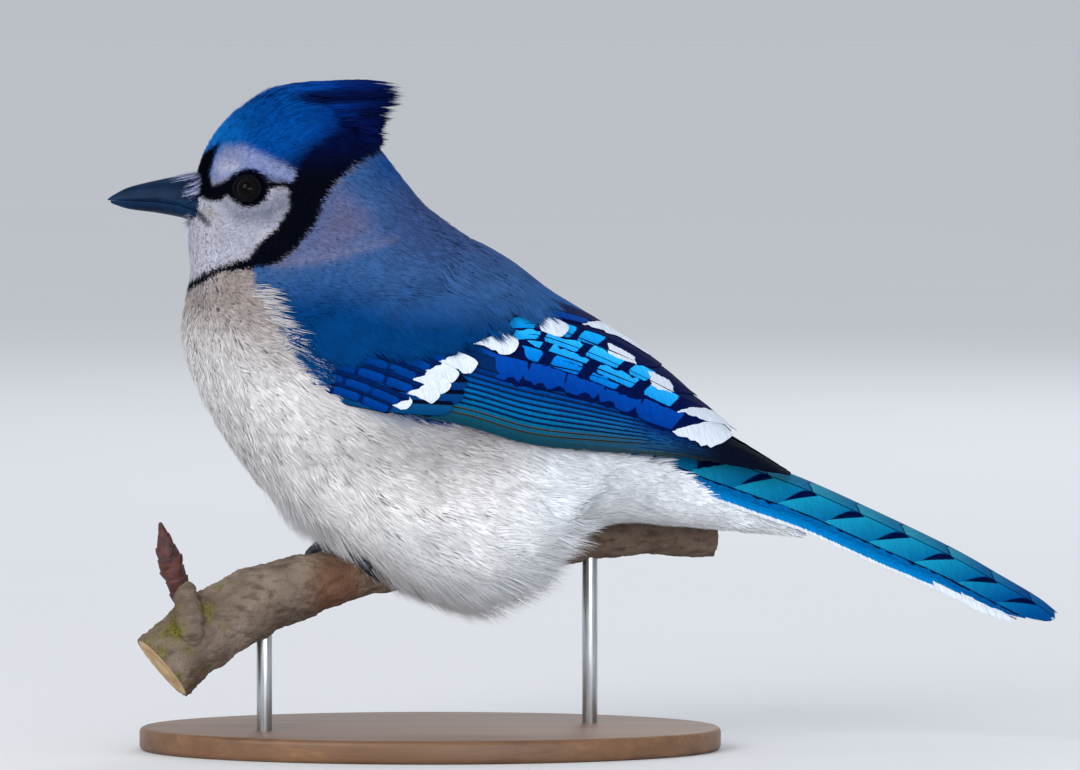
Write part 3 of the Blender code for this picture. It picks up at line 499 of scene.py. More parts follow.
def plumage(points):
    """The colour of the body's feathers at points in mm, with painted light and painted shade in
    places.
    """
    x, z = points[:, 0], points[:, 2]

    def mark(outline, soft, strength=1.0):
        """The mask of an outline whose edge is that many millimetres soft."""
        return strength * eased(soft, -soft, reach(x, z, outline))

    back, crown = mark(BLUE_BACK, 0.5), mark(CROWN, 0.5)
    near_eye = np.hypot((x - EYE_BLACK[0]) / 1.15, z - EYE_BLACK[1])
    near_gape = np.hypot(x - GAPE[0], z - GAPE[1]) + 1.2 * np.sin(x * 3.1) * np.sin(z * 2.7)
    colour = np.tile(tone("#e4e2e3"), (len(x), 1))
    for code, mask in (
        # painted light: everything below the breast is painted lighter, standing in for light on
        # the underside
        ("#f8f6f7", eased(76, 58, z)),
        # partly the upper breast's own greyer tone, and partly painted shade below the head
        ("#968c89", eased(96, 122, z + 0.3 * (x + 60))),
        # painted shade on the flank below the folded wing
        ("#9c9a9d", eased(19, 0, np.hypot((x - 2) / 2.4, z - 82)) * 0.8),
        ("#eef2f8", eased(14, 34, x - 0.2 * (z - 60))),
        # painted light: the lower belly is painted lighter still
        ("#f6f8fc", eased(64, 50, z) * eased(-30, 0, x)),
        ("#a4a5b4", mark(FACE, 0.6)),
        # painted shade below the eye
        ("#5d6178", mark(SHADE_UNDER_EYE, 3.0, 0.75)),
        ("#b9b8c8", eased(-52, -62, x) * eased(146, 138, z) * eased(118, 126, z)),
        ("#33598e", mark(BLUE_BACK, 1.2)),
        ("#3c4c7c", back * eased(-20, -2, x) * eased(118, 138, z) * 0.7),
        ("#0f5598", back * eased(20, 45, x) * 0.8),
        ("#003870", mark(WING_BLUE, 7.0, back)),
        ("#144d98", back * eased(-18, -8, x) * eased(144, 154, z)),
        ("#5e6184", mark(NECK_SIDE, 5.0, 0.95)),
        ("#8c8498", mark(SHOULDER_LINE, 1.8, 0.35)),
        ("#004492", mark(CROWN, 0.8)),
        ("#0a70c6", crown * eased(-43, -58, x)),
        ("#002876", crown * eased(-36, -16, x)),
        ("#001048", crown * eased(-24, -9, x) * 0.85),
        ("#010a30", crown * eased(-7, 7, x + 22 - 1.6 * (z - 163))),
        ("#020c33", mark(BLACK_BAND, 3.5, crown * 0.85)),
        ("#010a34", mark(CREST_STREAK, 1.0, 0.9)),
        ("#8894bc", crown * eased(-57, -61, x) * 0.5),
        ("#7e88b2", mark(BROW, 1.5)),
        ("#b4b7cb", eased(3.4, 0, np.hypot((x + 52) / 1.6, z - 152.5)) * 0.8),
        ("#02040e", mark(BLACK_BAND, 0.5)),
        ("#010d3c", mark(BLACK_BAND, 0.5, eased(148, 163, z))),
        ("#02040e", mark(LORE, 0.5)),
        ("#02040e", mark(EYE_LINE, 0.4)),
        ("#02040e", eased(EYE_BLACK[2], EYE_BLACK[2] - 0.8, near_eye)),
        ("#857b4c", eased(GAPE[2], GAPE[2] - 2.0, near_gape) * 0.4),
        ("#14182c", mark(GAPE_LINE, 0.7, 0.85)),
    ):
        colour = mixed(colour, tone(code), np.clip(mask, 0, 1)[:, None])
    return colour


print("breast:", plumage(np.array([(-40.0, -20.0, 70.0)])).round(2))

# %% [markdown]
# ## Feather material
# A feather is keratin, the stuff of nails, in barbs too fine to resolve. Together they scatter
# light softly, so the shader has a low gloss and a little sheen. The colour comes from the
# mesh, where every barb keeps its own, and a slow noise adds the patchiness of a live coat.

# %% The body coat's finish
def coat_finish(name, patch_size):
    """Keratin barbs: a soft, rough surface whose colour is kept in the mesh."""
    material, tree, shader = finish_of(
        name, Roughness=0.75, Sheen_Weight=0.006, Sheen_Roughness=0.5, Specular_IOR_Level=0.02
    )
    colour = add(tree, "VertexColor", layer_name="Tone").outputs["Color"]
    shade = noise_shade(tree, 1 / (patch_size * MM), 0.9, 1.1, detail=3.0, around=0.2)
    coloured(tree, shader, multiplied(tree, colour, shade))
    return material


coat_keratin = coat_finish("contour feather keratin", 6.0)
print("coat finish:", coat_keratin.name)

# %% The skin as a piece
# painted shade: the skin shows only in the gaps between barbs, so it is painted darker than the
# feathers over it
SKIN_PAINTED_SHADE = 0.85  # how light it is beside the feathers over it
bm = bent_grid(skin_points, 1e-4)
bmesh.ops.dissolve_degenerate(bm, edges=bm.edges, dist=1e-5)
skin = piece_of("skin", bm, coat_keratin)
places = np.array([vert.co for vert in skin.data.vertices]) / MM
store(skin, "Tone", "FLOAT_COLOR", "color",
      np.column_stack([plumage(places) * SKIN_PAINTED_SHADE, np.ones(len(places))]))
lodge(skin, ("crest", "head", "neck", "torso", "undertail"))

# %% [markdown]
# ## The lie of the coat
# Feathers grow backwards from the bill and flow along the body. A few guides say, for places in
# the side view, which way they lie (degrees below the way to the tail), how long and wide they
# are, how far they lift, and how unruly they are. Every root takes a blend of the guides near
# it. This is how a groomer works, and it needs far fewer numbers than a list of feathers.

# %% Guides
# x, z, angle, length, half width, lift, unruly degrees
GUIDES = (
    (-62, 158, -60, 3.6, 1.1, 2.1, 8),
    (-56, 164, -42, 5.5, 1.5, 2.9, 7),
    (-47, 170, -22, 8.0, 1.9, 3.0, 6),
    (-36, 173, -3, 9.5, 2.2, 2.4, 6),
    (-22, 170, 2, 9.0, 2.4, 1.0, 6),
    (-40, 162, -10, 7.5, 1.9, 1.4, 6),
    (-25, 161, -4, 8.0, 2.2, 1.0, 6),
    (-58, 153, -50, 2.4, 0.9, 0.7, 9),
    (-50, 154, -12, 2.6, 0.9, 0.7, 9),
    (-40, 153, 5, 3.2, 1.1, 0.8, 9),
    (-33, 150, 22, 4.5, 1.4, 0.9, 8),
    (-54, 143, 25, 2.0, 0.8, 0.7, 10),
    (-46, 141, 25, 2.3, 0.9, 0.7, 10),
    (-40, 138, 40, 3.0, 1.1, 0.8, 10),
    (-50, 133, 52, 3.6, 1.2, 0.9, 11),
    (-60, 135, 75, 3.6, 1.2, 0.9, 12),
    (-62, 127, 80, 4.4, 1.4, 1.0, 12),
    (-45, 128, 50, 5.0, 1.6, 1.0, 9),
    (-32, 138, 48, 5.0, 1.6, 1.0, 8),
    (-20, 148, 45, 6.5, 2.0, 1.1, 8),
    (-12, 150, 52, 8.0, 2.4, 1.2, 8),
    (-26, 134, 30, 6.5, 2.0, 1.1, 8),
    (-8, 138, 40, 9.0, 2.8, 1.3, 7),
    (12, 128, 38, 11.0, 3.4, 1.5, 6),
    (32, 113, 37, 12.0, 3.6, 1.6, 6),
    (-32, 122, 18, 8.5, 2.8, 1.3, 8),
    (-10, 120, 24, 11.0, 3.4, 1.4, 6),
    (8, 114, 28, 12.0, 3.6, 1.5, 6),
    (-25, 108, 24, 8.0, 2.8, 1.2, 6),
    (-8, 104, 24, 8.0, 2.8, 1.1, 5),
    (-56, 116, 70, 7.5, 2.2, 1.7, 15),
    (-50, 118, 28, 8.5, 2.2, 1.9, 16),
    (-44, 112, 5, 11.0, 2.4, 2.4, 18),
    (-58, 100, 66, 10.0, 2.6, 2.2, 15),
    (-42, 100, 14, 12.0, 2.6, 2.6, 18),
    (-48, 84, 52, 12.0, 2.9, 2.5, 16),
    (-28, 88, 26, 13.0, 3.0, 2.5, 16),
    (-30, 68, 44, 13.5, 3.1, 3.0, 17),
    (-5, 80, 24, 13.5, 3.2, 2.4, 14),
    (15, 76, 18, 13.5, 3.2, 2.3, 13),
    (-15, 55, 38, 14.0, 3.0, 3.5, 19),
    (8, 46, 28, 14.0, 3.0, 3.8, 20),
    (25, 55, 20, 13.0, 3.0, 2.9, 17),
    (50, 78, 24, 11.0, 3.0, 1.4, 10),
    (70, 70, 23, 11.0, 3.0, 1.2, 8),
    (88, 61, 20, 9.0, 2.6, 0.9, 6),
    (45, 63, 10, 12.0, 3.0, 1.8, 10),
    (68, 60, 6, 12.0, 3.0, 1.2, 8),
    (92, 57, 5, 9.0, 2.4, 0.7, 6),
    (58, 86, 32, 11.0, 3.2, 1.2, 6),
)
GUIDE_REACH = 8.5
guides = np.array(GUIDES, float)
BILL_ROOT = np.array((-78.0, 0.0, 143.5))


def groomed(points):
    """The blend of the guides at each point: lie in the side view, then the other numbers."""
    away = (points[:, None, 0] - guides[None, :, 0]) ** 2
    away = away + (points[:, None, 2] - guides[None, :, 1]) ** 2
    weight = np.exp(-(away - away.min(1, keepdims=True)) / (2 * GUIDE_REACH**2))
    weight /= weight.sum(1, keepdims=True)
    angle = np.radians(guides[:, 2])
    lie = np.column_stack([weight @ np.cos(angle), np.zeros(len(points)), -weight @ np.sin(angle)])
    return lie, weight @ guides[:, 3:]


def lie_of(points, normals):
    """Which way the coat lies, along the skin: away from the bill on the face."""
    lie, numbers = groomed(points)
    radial = unit(points - BILL_ROOT)
    near_bill = eased(-44, -56, points[:, 0])[:, None]
    lie = mixed(unit(lie), radial, near_bill * 0.8)
    lie = lie - normals * np.sum(lie * normals, 1, keepdims=True)
    return unit(lie), numbers


# %% [markdown]
# Roots are spread evenly, and closer where feathers are small. A tree of the skin's faces finds
# the nearest place on the skin, which keeps every feather on the body.

# %% Roots spread over the skin
skin_normals = outward
flat_points = skin_points.reshape(-1, 3)
flat_normals = skin_normals.reshape(-1, 3)
skin_faces = []
for ring in range(RINGS - 1):
    for side in range(RING_SIDES):
        first = ring * (RING_SIDES + 1) + side
        skin_faces.append((first, first + 1, first + RING_SIDES + 2, first + RING_SIDES + 1))
skin_tree = BVHTree.FromPolygons([Vector(p) for p in flat_points], skin_faces)
face_normals = unit(flat_normals[np.array(skin_faces)].mean(1))


def onto_skin(points):
    """The nearest places on the skin and the normals there."""
    places = np.empty_like(points)
    faces = np.empty(len(points), int)
    for i, point in enumerate(points):
        place, _, face, _ = skin_tree.find_nearest(Vector(point))
        places[i] = place
        faces[i] = face
    return places, face_normals[faces]


# powers of a number that, taken step by step, fill a square evenly
EVEN_STEPS = (0.7548776662466927, 0.5698402909980532)
ROOT_JITTER = 0.1


def spread(first, last, crowd):
    """Even roots on the rings between two section numbers: ring and side places."""
    low = np.searchsorted(ring_places, first)
    high = np.searchsorted(ring_places, last)
    cells = skin_points[low : high + 1]
    across = cells[:-1, 1:] - cells[:-1, :-1]
    down = cells[1:, :-1] - cells[:-1, :-1]
    area = np.linalg.norm(np.cross(across, down), axis=-1)
    middle = (cells[:-1, :-1] + cells[1:, 1:]) / 2
    _, numbers = groomed(middle.reshape(-1, 3))
    footprint = (numbers[:, 0] * numbers[:, 1]).reshape(area.shape)
    weight = area / footprint * crowd
    count = int(weight.sum())
    index = np.arange(count) + rng.random()
    u, v = ((index * step + ROOT_JITTER * rng.random(count) / math.sqrt(count)) % 1
            for step in EVEN_STEPS)
    rows = np.cumsum(weight.sum(1))
    ring = np.searchsorted(rows, u * rows[-1])
    before = np.where(ring > 0, rows[ring - 1], 0)
    ring_part = (u * rows[-1] - before) / np.maximum(rows[ring] - before, 1e-9)
    columns = np.cumsum(weight, axis=1)
    side = np.array([np.searchsorted(columns[r], t * columns[r, -1]) for r, t in zip(ring, v)])
    side = np.minimum(side, RING_SIDES - 1)
    side_part = rng.random(count)
    return ring + low + ring_part, side + side_part


def read_grid(grid, ring, side):
    """A grid of the skin read between its points."""
    i = np.clip(ring.astype(int), 0, RINGS - 2)
    j = np.clip(side.astype(int), 0, RING_SIDES - 1)
    s, t = (ring - i)[:, None], (side - j)[:, None]
    near = grid[i, j] * (1 - t) + grid[i, j + 1] * t
    far = grid[i + 1, j] * (1 - t) + grid[i + 1, j + 1] * t
    return near * (1 - s) + far * s


print("one root for each", round(float(np.prod(guides[:, 3:5], axis=1).mean()), 1), "mm2 or less")

# %% [markdown]
# ## One contour feather
# A small body feather is a short shaft with barbs that fan out and close into a soft tip. Each
# is laid on the skin in steps, so that it bends with the body, and its barbs are thin closed
# blades of six triangles: a root, a wider middle and a point. Many blades read as plumage in a
# way that a flat card or a bump map can't, from any side and at any distance.

# %% Barbs
BLADE_CORNERS = np.array([0, 1, 3, 0, 3, 2, 0, 2, 1, 1, 4, 3, 3, 4, 2, 2, 4, 1])
BLADE_POINTS = 5
BLADE_FACES = 6
BLADE_PATCH = np.array([(0, 0), (-0.5, 0.5), (0.5, 0.5), (0, 0.55), (0, 1)])
PATCH_SIZE = 0.003
# painted shade: each barb's root is painted darker, as if shaded by the feathers that lie over it
ROOT_PAINTED_SHADE = 0.86
SPINE_STEPS = 3
SOFTNESS = 0.8  # how far a barb's normals lean from its own faces toward the coat's surface
CREST_SOFTNESS = 0.5


def spines(roots, normals, lengths, twist):
    """Each feather's line on the skin: points, normals and sideways directions."""
    points, ups, sides = [roots], [normals], []
    here, up = roots, normals
    for step in range(SPINE_STEPS + 1):
        lie, _ = lie_of(here, up)
        side = np.cross(up, lie)
        lie = unit(lie * np.cos(twist)[:, None] + side * np.sin(twist)[:, None])
        sides.append(np.cross(up, lie))
        if step < SPINE_STEPS:
            here, up = onto_skin(here + lie * (lengths / SPINE_STEPS)[:, None])
            points.append(here)
            ups.append(up)
    return tuple(np.stack(rows, 1) for rows in (points, ups, sides))


def on_spine(spine, share):
    """A row of the spine read at shares of its length."""
    at = np.clip(share, 0, 1) * SPINE_STEPS
    first = np.minimum(at.astype(int), SPINE_STEPS - 1)
    part = (at - first)[..., None]
    pick = np.arange(len(spine))[:, None]
    value = spine[pick, first] * (1 - part) + spine[pick, first + 1] * part
    past = np.maximum(share - 1, 0)[..., None] * SPINE_STEPS
    return value + (spine[:, -1] - spine[:, -2])[:, None] * past


def blades(root, middle, tip, up, girth):
    """The five points of each barb's blade, from its root, middle and tip."""
    wide = unit(np.cross(up, tip - root)) * girth[:, None]
    rise = up * girth[:, None] * 0.45
    low = middle - 0.4 * rise
    return np.stack([root, low - wide, low + wide, middle + rise, tip], 1)


def blade_piece(name, points, colours, patches, ups, softness=SOFTNESS):
    """One piece of many blades, with a colour and a patch of the OFBake map for each."""
    count = len(points)
    corners = (BLADE_CORNERS[None] + BLADE_POINTS * np.arange(count)[:, None]).ravel()
    thing = piece_from(name, points.reshape(-1, 3), corners, np.full(count * BLADE_FACES, 3),
                       coat_keratin)
    rgba = np.ones((count, BLADE_POINTS, 4))
    rgba[..., :3] = np.clip(colours, 0, 1)[:, None]
    # painted shade at each barb's root
    rgba[:, 0, :3] *= ROOT_PAINTED_SHADE
    store(thing, "Tone", "FLOAT_COLOR", "color", rgba)
    places = patches[:, None] + BLADE_PATCH[None] * PATCH_SIZE
    unwrap(thing, "OFBake", places.reshape(-1, 2))
    own = unit(points - points.mean(1, keepdims=True) + 1e-6)
    turned = unit(ups[:, None] * softness + own * (1 - softness))
    thing.data.normals_split_custom_set_from_vertices(turned.reshape(-1, 3).tolist())
    return thing


print("a barb has", BLADE_FACES, "triangles")

# %% [markdown]
# Feathers grow all over the skin, except where the eye and the bill are, and where the folded
# wing or the tail's own feathers lie over it.

# %% Where the coat grows
EYES = {}
for _, side_name in SIDES:
    low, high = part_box("eye_" + side_name)
    EYES[side_name] = np.array((low + high) / 2) / MM
EYE_BARE = 4.5
BILL_FOOT = (-58.5, 4.3, 139.8, 149.5)  # the x that it lies before, half width, low and high edge
# x and height round the part of the side that the wing's flight feathers hide
WING_COVER = ((24, 84.5), (33, 83), (46, 81), (62, 79), (78, 77), (98, 70), (98, 80), (72, 92),
              (55, 107), (40, 117), (30, 119), (24, 112))
# x and height of the line where the undertail's feathers end and the tail shows
UNDER_TAIL = ((44.8, 79.8), (60, 73.4), (98.7, 57.6))


def kept(points, clear):
    """Which roots stay: not where an eye, the bill or the folded wing covers them."""
    keep = np.ones(len(points), bool)
    for centre in EYES.values():
        keep &= np.linalg.norm(points - centre, axis=1) > clear
    x, z = points[:, 0], points[:, 2]
    behind, half, low, high = BILL_FOOT
    keep &= ~((x < behind) & (np.abs(points[:, 1]) < half) & (z > low) & (z < high))
    keep &= reach(x, z, WING_COVER) > -1.5
    tail_edge = along(UNDER_TAIL, x) + np.where(points[:, 1] > 0, 3.0, 0.5)
    return keep & ((x < 40) | (z < tail_edge))


print("bare round the eyes:", EYE_BARE, "mm")

# %% [markdown]
# The coat is grown band by band, left and right apart, so that each piece stays light. The OFBake
# map puts each barb's patch at its root's place on the skin, unrolled: round the body one way
# and along it the other.

# %% Growing a band
def fan_of(half, length, unruly, barbs):
    """Where each barb of each feather starts, bends and ends along it, and how far out it is."""
    count = len(half)
    u = np.linspace(-1, 1, barbs)[None] + rng.normal(0, 0.6 / barbs, (count, barbs))
    start = 0.06 + 0.45 * (1 - np.abs(u))
    end = 0.55 + 0.45 * np.sqrt(np.clip(1 - u * u, 0, 1)) + rng.normal(0, 0.05, (count, barbs))
    wild = rng.normal(0, 1, (count, barbs)) * unruly[:, None]
    fan = u * half[:, None] + wild * (length[:, None] * 0.35)
    return start, (start + end) / 2, end, fan


def grow(name, first, last, side, crowd, barbs, girth):
    """A piece of the coat between two sections, on one side of the bird."""
    ring, around = spread(first, last, crowd)
    y = np.sin(around / RING_SIDES * 2 * math.pi)
    chosen = y * side > 0
    ring, around = ring[chosen], around[chosen]
    roots = read_grid(skin_points, ring, around)
    chosen = kept(roots, EYE_BARE)
    ring, around, roots = ring[chosen], around[chosen], roots[chosen]
    normals = unit(read_grid(skin_normals, ring, around))
    _, numbers = groomed(roots)
    count = len(roots)
    length = numbers[:, 0] * rng.uniform(0.85, 1.15, count)
    half = numbers[:, 1] * rng.uniform(0.85, 1.15, count)
    lift = numbers[:, 2]
    unruly = np.radians(numbers[:, 3])
    gather = eased(9, 15, numbers[:, 3])
    spine, up, across = spines(roots, normals, length, rng.normal(0, 1, count) * unruly * 0.8)
    start, middle, end, fan = fan_of(half, length, unruly, barbs)
    level = lift[:, None] * rng.uniform(0.6, 1.0, (count, 1))
    loose = rng.uniform(-0.15, 0.3, (count, barbs)) * lift[:, None]
    rows = []
    # a barb's root, middle and tip: how far along the feather, how far out and how high
    for share, out, height in ((start, 0.12 * fan, -0.25 + 0.45 * level * start),
                               (middle, 0.66 * fan, level * 0.8),
                               (end, fan * (1 - 0.45 * gather[:, None]), level + loose)):
        droop = out * out / FEATHER_CURVE
        place = on_spine(spine, share) + on_spine(across, share) * out[..., None]
        rows.append(place + on_spine(up, share) * (height - droop)[..., None])
    facing = unit(on_spine(up, middle))
    root, mid, tip = (row.reshape(-1, 3) for row in rows)
    total = count * barbs
    facing = facing.reshape(-1, 3)
    width = np.repeat(girth * half**0.35, barbs) * rng.uniform(0.8, 1.2, total)
    points = blades(root, mid, tip, facing, width)
    shown = mid * 0.45 + tip * 0.55 + rng.normal(0, 0.25, (total, 3))
    colours = plumage(shown)
    colours *= np.repeat(rng.normal(1, 0.04, count), barbs)[:, None]
    colours *= rng.normal(1, 0.07, (total, 1))
    # painted shade and wear: a random share of barbs is painted darker
    colours *= np.where(rng.random((total, 1)) < SHADED_AND_WORN_BARBS, DARKENED, 1.0)
    bands = (ring_places[ring.astype(int)] - first) / (last - first)
    turn = around / RING_SIDES
    turn = np.where(turn > 0.5, 1 - turn, turn) * 2
    patches = np.column_stack([np.clip(turn, 0, 1), np.clip(bands, 0, 1)]) * 0.99
    patches = np.repeat(patches, barbs, 0) + rng.uniform(0, 0.007, (total, 2))
    return blade_piece(name, points, colours, patches, facing)


# a random share of barbs is painted darker, partly as painted shade for barbs in shadow and partly
# as wear
SHADED_AND_WORN_BARBS = 0.035  # the share of barbs that are in shadow or worn
DARKENED = 0.7
FEATHER_CURVE = 44.0  # millimetres: the larger, the flatter a feather is from side to side
print("dark barbs:", SHADED_AND_WORN_BARBS)

# %% The coat, band by band
# name, first and last section, crowding, barbs a feather, barb half width in mm
COAT_BANDS = (
    ("crown_coat", -1, 2.2, 8, 17, 0.15),
    ("face_coat", 2.2, 5.2, 8, 11, 0.125),
    ("neck_coat", 5.2, 8.0, 8, 15, 0.155),
    ("breast_coat", 8.0, 10.3, 8, 22, 0.135),
    ("flank_coat", 10.3, 12.6, 8, 22, 0.135),
    ("belly_coat", 12.6, 15.5, 9, 22, 0.135),
    ("rear_coat", 15.5, LAST + 1, 9, 20, 0.14),
)
for band, first, last, crowd, barbs, girth in COAT_BANDS:
    for side, side_name in SIDES:
        lodge(grow(f"{band}_{side_name}", first, last, side, crowd, barbs, girth))

# %% [markdown]
# Long loose feathers hang past the edges of the coat: over the bend of the wing, along the
# belly where it meets the branch, and under the tail. They are small tufts of fine barbs, rooted
# along lines in the side view and lifted off the body, and they break the smooth outline as
# real down does.

# %% Loose fringes
# line from (x, z) to (x, z), degrees below the way to the tail, length, lift, tufts to a side
FRINGES = (
    (-47, 121, -41, 110, 16, 10, 1.8, 40), (-42, 111, -31, 97, 18, 13, 2.0, 80),
    (-31, 98, -6, 86, 24, 12, 1.5, 130), (-4, 84, 42, 79, 16, 9, 0.9, 70),
    (-42, 68, -22, 53, 56, 12.5, 4.8, 330), (-34, 56, -12, 46, 44, 13, 5.6, 240),
    (-14, 48, 4, 41, 38, 15, 5.0, 230), (0, 42, 24, 46, 30, 16, 5.2, 250),
    (20, 46, 38, 58, 24, 14, 4.4, 200), (40, 60, 92, 58, 12, 8, 0.8, 60),
)
FRINGE_TUFT = 6  # barbs in a tuft
FRINGE_GIRTH = 0.095
PALE_DOWN = tone("#dde0e7")


def from_side(x, z, side):
    """The skin's points and normals that a look from that side meets, and which looks meet it."""
    inward = Vector((0, -side, 0))
    hits = [skin_tree.ray_cast(Vector((a, 90 * side, b)), inward) for a, b in zip(x, z)]
    met = np.array([hit[0] is not None for hit in hits])
    places = np.array([hit[0] for hit in hits if hit[0]])
    return places, face_normals[[hit[2] for hit in hits if hit[0]]], met


def loose_barbs(name, root, way, bend, up, girth, colours):
    """A piece of single barbs: each goes its way from the root and bends by that much."""
    middle = root + way * 0.5 - bend * 0.25
    points = blades(root, middle, root + way, up, girth * rng.uniform(0.7, 1.3, len(root)))
    low, high = root.min(0), root.max(0)
    patches = ((root - low) / (high - low))[:, [0, 2]] * 0.99
    return blade_piece(name, points, colours, patches, up)


def fringe(side, side_name):
    """Tufts along the lines above: barbs that share a root and close to one point."""
    tufts = np.repeat(np.array(FRINGES, float)[:, :7], [row[7] for row in FRINGES], 0)
    share = rng.random(len(tufts))
    x = mixed(tufts[:, 0], tufts[:, 2], share) + rng.normal(0, 1.5, len(tufts))
    z = mixed(tufts[:, 1], tufts[:, 3], share) + rng.uniform(0, 5, len(tufts)) * (tufts[:, 1] < 70)
    angle = tufts[:, 4] + rng.normal(0, 1, len(tufts)) * (3 + 0.1 * tufts[:, 4])
    length = tufts[:, 5] * rng.uniform(0.65, 1.2, len(tufts))
    lift = tufts[:, 6] * rng.uniform(0.5, 1.1, len(tufts))
    x, z, angle, length, lift = (np.repeat(row, FRINGE_TUFT) for row in (x, z, angle, length, lift))
    root, up, met = from_side(x + rng.normal(0, 0.6, len(x)), z + rng.normal(0, 0.6, len(z)), side)
    angle = np.radians(angle + rng.normal(0, 2.5, len(x)))[met]
    length = (length * rng.uniform(0.8, 1.1, len(x)))[met, None]
    lie = np.column_stack([np.cos(angle), np.zeros(len(angle)), -np.sin(angle)])
    lie = unit(lie - up * np.sum(lie * up, 1, keepdims=True))
    way = lie * length + up * lift[met, None]
    bend = np.array((0, 0, -1.0)) * length * 0.1 - up * length * 0.1
    colours = mixed(plumage(root), PALE_DOWN, 0.5) * rng.normal(0.94, 0.1, (len(root), 1))
    return loose_barbs("loose_barbs_" + side_name, root, way, bend, up, FRINGE_GIRTH, colours)


for side, side_name in SIDES:
    lodge(fringe(side, side_name))


# %% [markdown]
# ## Flight feathers
# A flight feather is a stiff shaft with a narrow outer vane and a broad inner one. Folded, each
# lies over the next, so only a strip of outer vane shows. Every feather here is a thin closed
# sheet laid on the wing's own surface, drawn from the line of its lower edge in the side view.
# The mesh keeps how far each point is inside a bright cell or the white tip, and the material
# turns that into crisp bars at any distance.

# %% The vane material
def vane_finish(name, roughness):
    """Barred keratin: bright cells, dark bars, a white tip, a dark shaft and fine barbs."""
    material, tree, shader = finish_of(name, Roughness=roughness, Specular_IOR_Level=0.004)
    bright, colour = (add(tree, "VertexColor", layer_name=layer).outputs["Color"]
                      for layer in ("Tone", "Plain"))
    marks, bars = (add(tree, "SeparateXYZ", {"Vector": kept_in_mesh(tree, field)}).outputs
                   for field in ("Marks", "Bars"))
    # the fine barbs: noise drawn out along them
    barbs = add(tree, "TexNoise", {
        "Vector": kept_in_mesh(tree, "Weave"), "Scale": 1.0, "Detail": 2.0}).outputs["Fac"]
    rough_edge = maths(tree, "SUBTRACT", barbs, 0.5)
    for channel, mark, ragged_by in (("X", bright, 0.14), ("Y", "#ccd5e2", 0.6),
                                     ("Z", "#0a101c", 0.0)):
        ragged = maths(tree, "MULTIPLY_ADD", rough_edge, ragged_by, marks[channel])
        mask = ranged(tree, ragged, -0.1, 0.12, interpolation_type="SMOOTHSTEP")
        colour = blended(tree, mask, colour, mark)
    # dark bars across the tail: whole numbers of X, half as wide as Y, and a deeper blue to each
    barred = maths(tree, "GREATER_THAN", bars["X"], 0.0)
    deeper = maths(tree, "MULTIPLY", maths(tree, "FRACT", bars["X"]), barred)
    deeper = maths(tree, "MULTIPLY", deeper, 0.85)
    colour = blended(tree, deeper, colour, multiplied(tree, colour, "#2a9ccc"))
    inside = maths(tree, "SUBTRACT", bars["Y"], maths(tree, "PINGPONG", bars["X"], 0.5))
    inside = maths(tree, "MULTIPLY_ADD", rough_edge, 0.05, inside)
    mask = ranged(tree, inside, -0.015, 0.02, interpolation_type="SMOOTHSTEP")
    colour = blended(tree, mask, colour, "#010e34")
    shade = ranged(tree, barbs, 0.3, 0.7, 0.82, 1.15)
    coloured(tree, shader, multiplied(tree, colour, shade))
    bumped(tree, shader, barbs, 0.12, 0.35)
    return material


vane_keratin = vane_finish("flight feather keratin", 0.52)
print("vane finish:", len(vane_keratin.node_tree.nodes), "nodes")

# %% [markdown]
# A feather's sheet has an upper and a lower side that meet at the rim, so it is a thin solid. Both
# are grids, with stations along the shaft and columns across the vanes.

# %% Feather sheets
def sheet_faces(stations, columns):
    """Corners and totals of a thin closed sheet: rings of upper then lower points, and caps."""
    ring = 2 * columns
    first = (np.arange(stations - 1)[:, None] * ring + np.arange(ring)[None]).ravel()
    across = np.where((first % ring) == ring - 1, first - ring + 1, first + 1)
    quads = np.column_stack([first, first + ring, across + ring, across])
    caps = []
    for base, flip in ((0, 1), ((stations - 1) * ring, -1)):
        for k in range(columns - 1):
            quad = (base + k, base + k + 1, base + ring - 2 - k, base + ring - 1 - k)
            caps.append(quad[::flip])
    return np.vstack([quads, caps])


def joined_sheets(name, sheets):
    """One object of several sheets: upper and lower points and five fields, each on a grid."""
    points, corners, totals, fields = [], [], [], [[], [], [], [], []]
    offset = 0
    for upper, lower, *grids in sheets:
        stations, columns = upper.shape[:2]
        both = np.concatenate([upper, lower[:, ::-1]], 1)
        faces = sheet_faces(stations, columns) + offset
        points.append(both.reshape(-1, 3))
        corners.append(faces.ravel())
        totals.append(np.full(len(faces), 4))
        offset += both.shape[0] * both.shape[1]
        for rows, grid in zip(fields, grids):
            rows.append(np.concatenate([grid, grid[:, ::-1]], 1).reshape(-1, 3))
    thing = piece_from(name, np.vstack(points), np.concatenate(corners),
                       np.concatenate(totals), vane_keratin)
    for layer, rows in zip(("Tone", "Plain", "Marks", "Weave", "Bars"), fields):
        rows = np.vstack(rows)
        if layer in ("Tone", "Plain"):
            rgba = np.column_stack([rows, np.ones(len(rows))])
            store(thing, layer, "FLOAT_COLOR", "color", rgba)
        else:
            store(thing, layer, "FLOAT_VECTOR", "vector", rows)
    return thing


VANE_COLUMNS = np.array([-1, -0.93, -0.75, -0.5, -0.25, -0.06, 0, 0.06, 0.25, 0.5, 0.75, 0.93, 1])
VANE_THICK = 0.14
VANE_ROOT = 0.06  # the share of its length over which a vane opens
SHAFT_WIDTH = 0.22
BARB_LEAN = 0.9  # how far forward the barbs slant, for each millimetre across


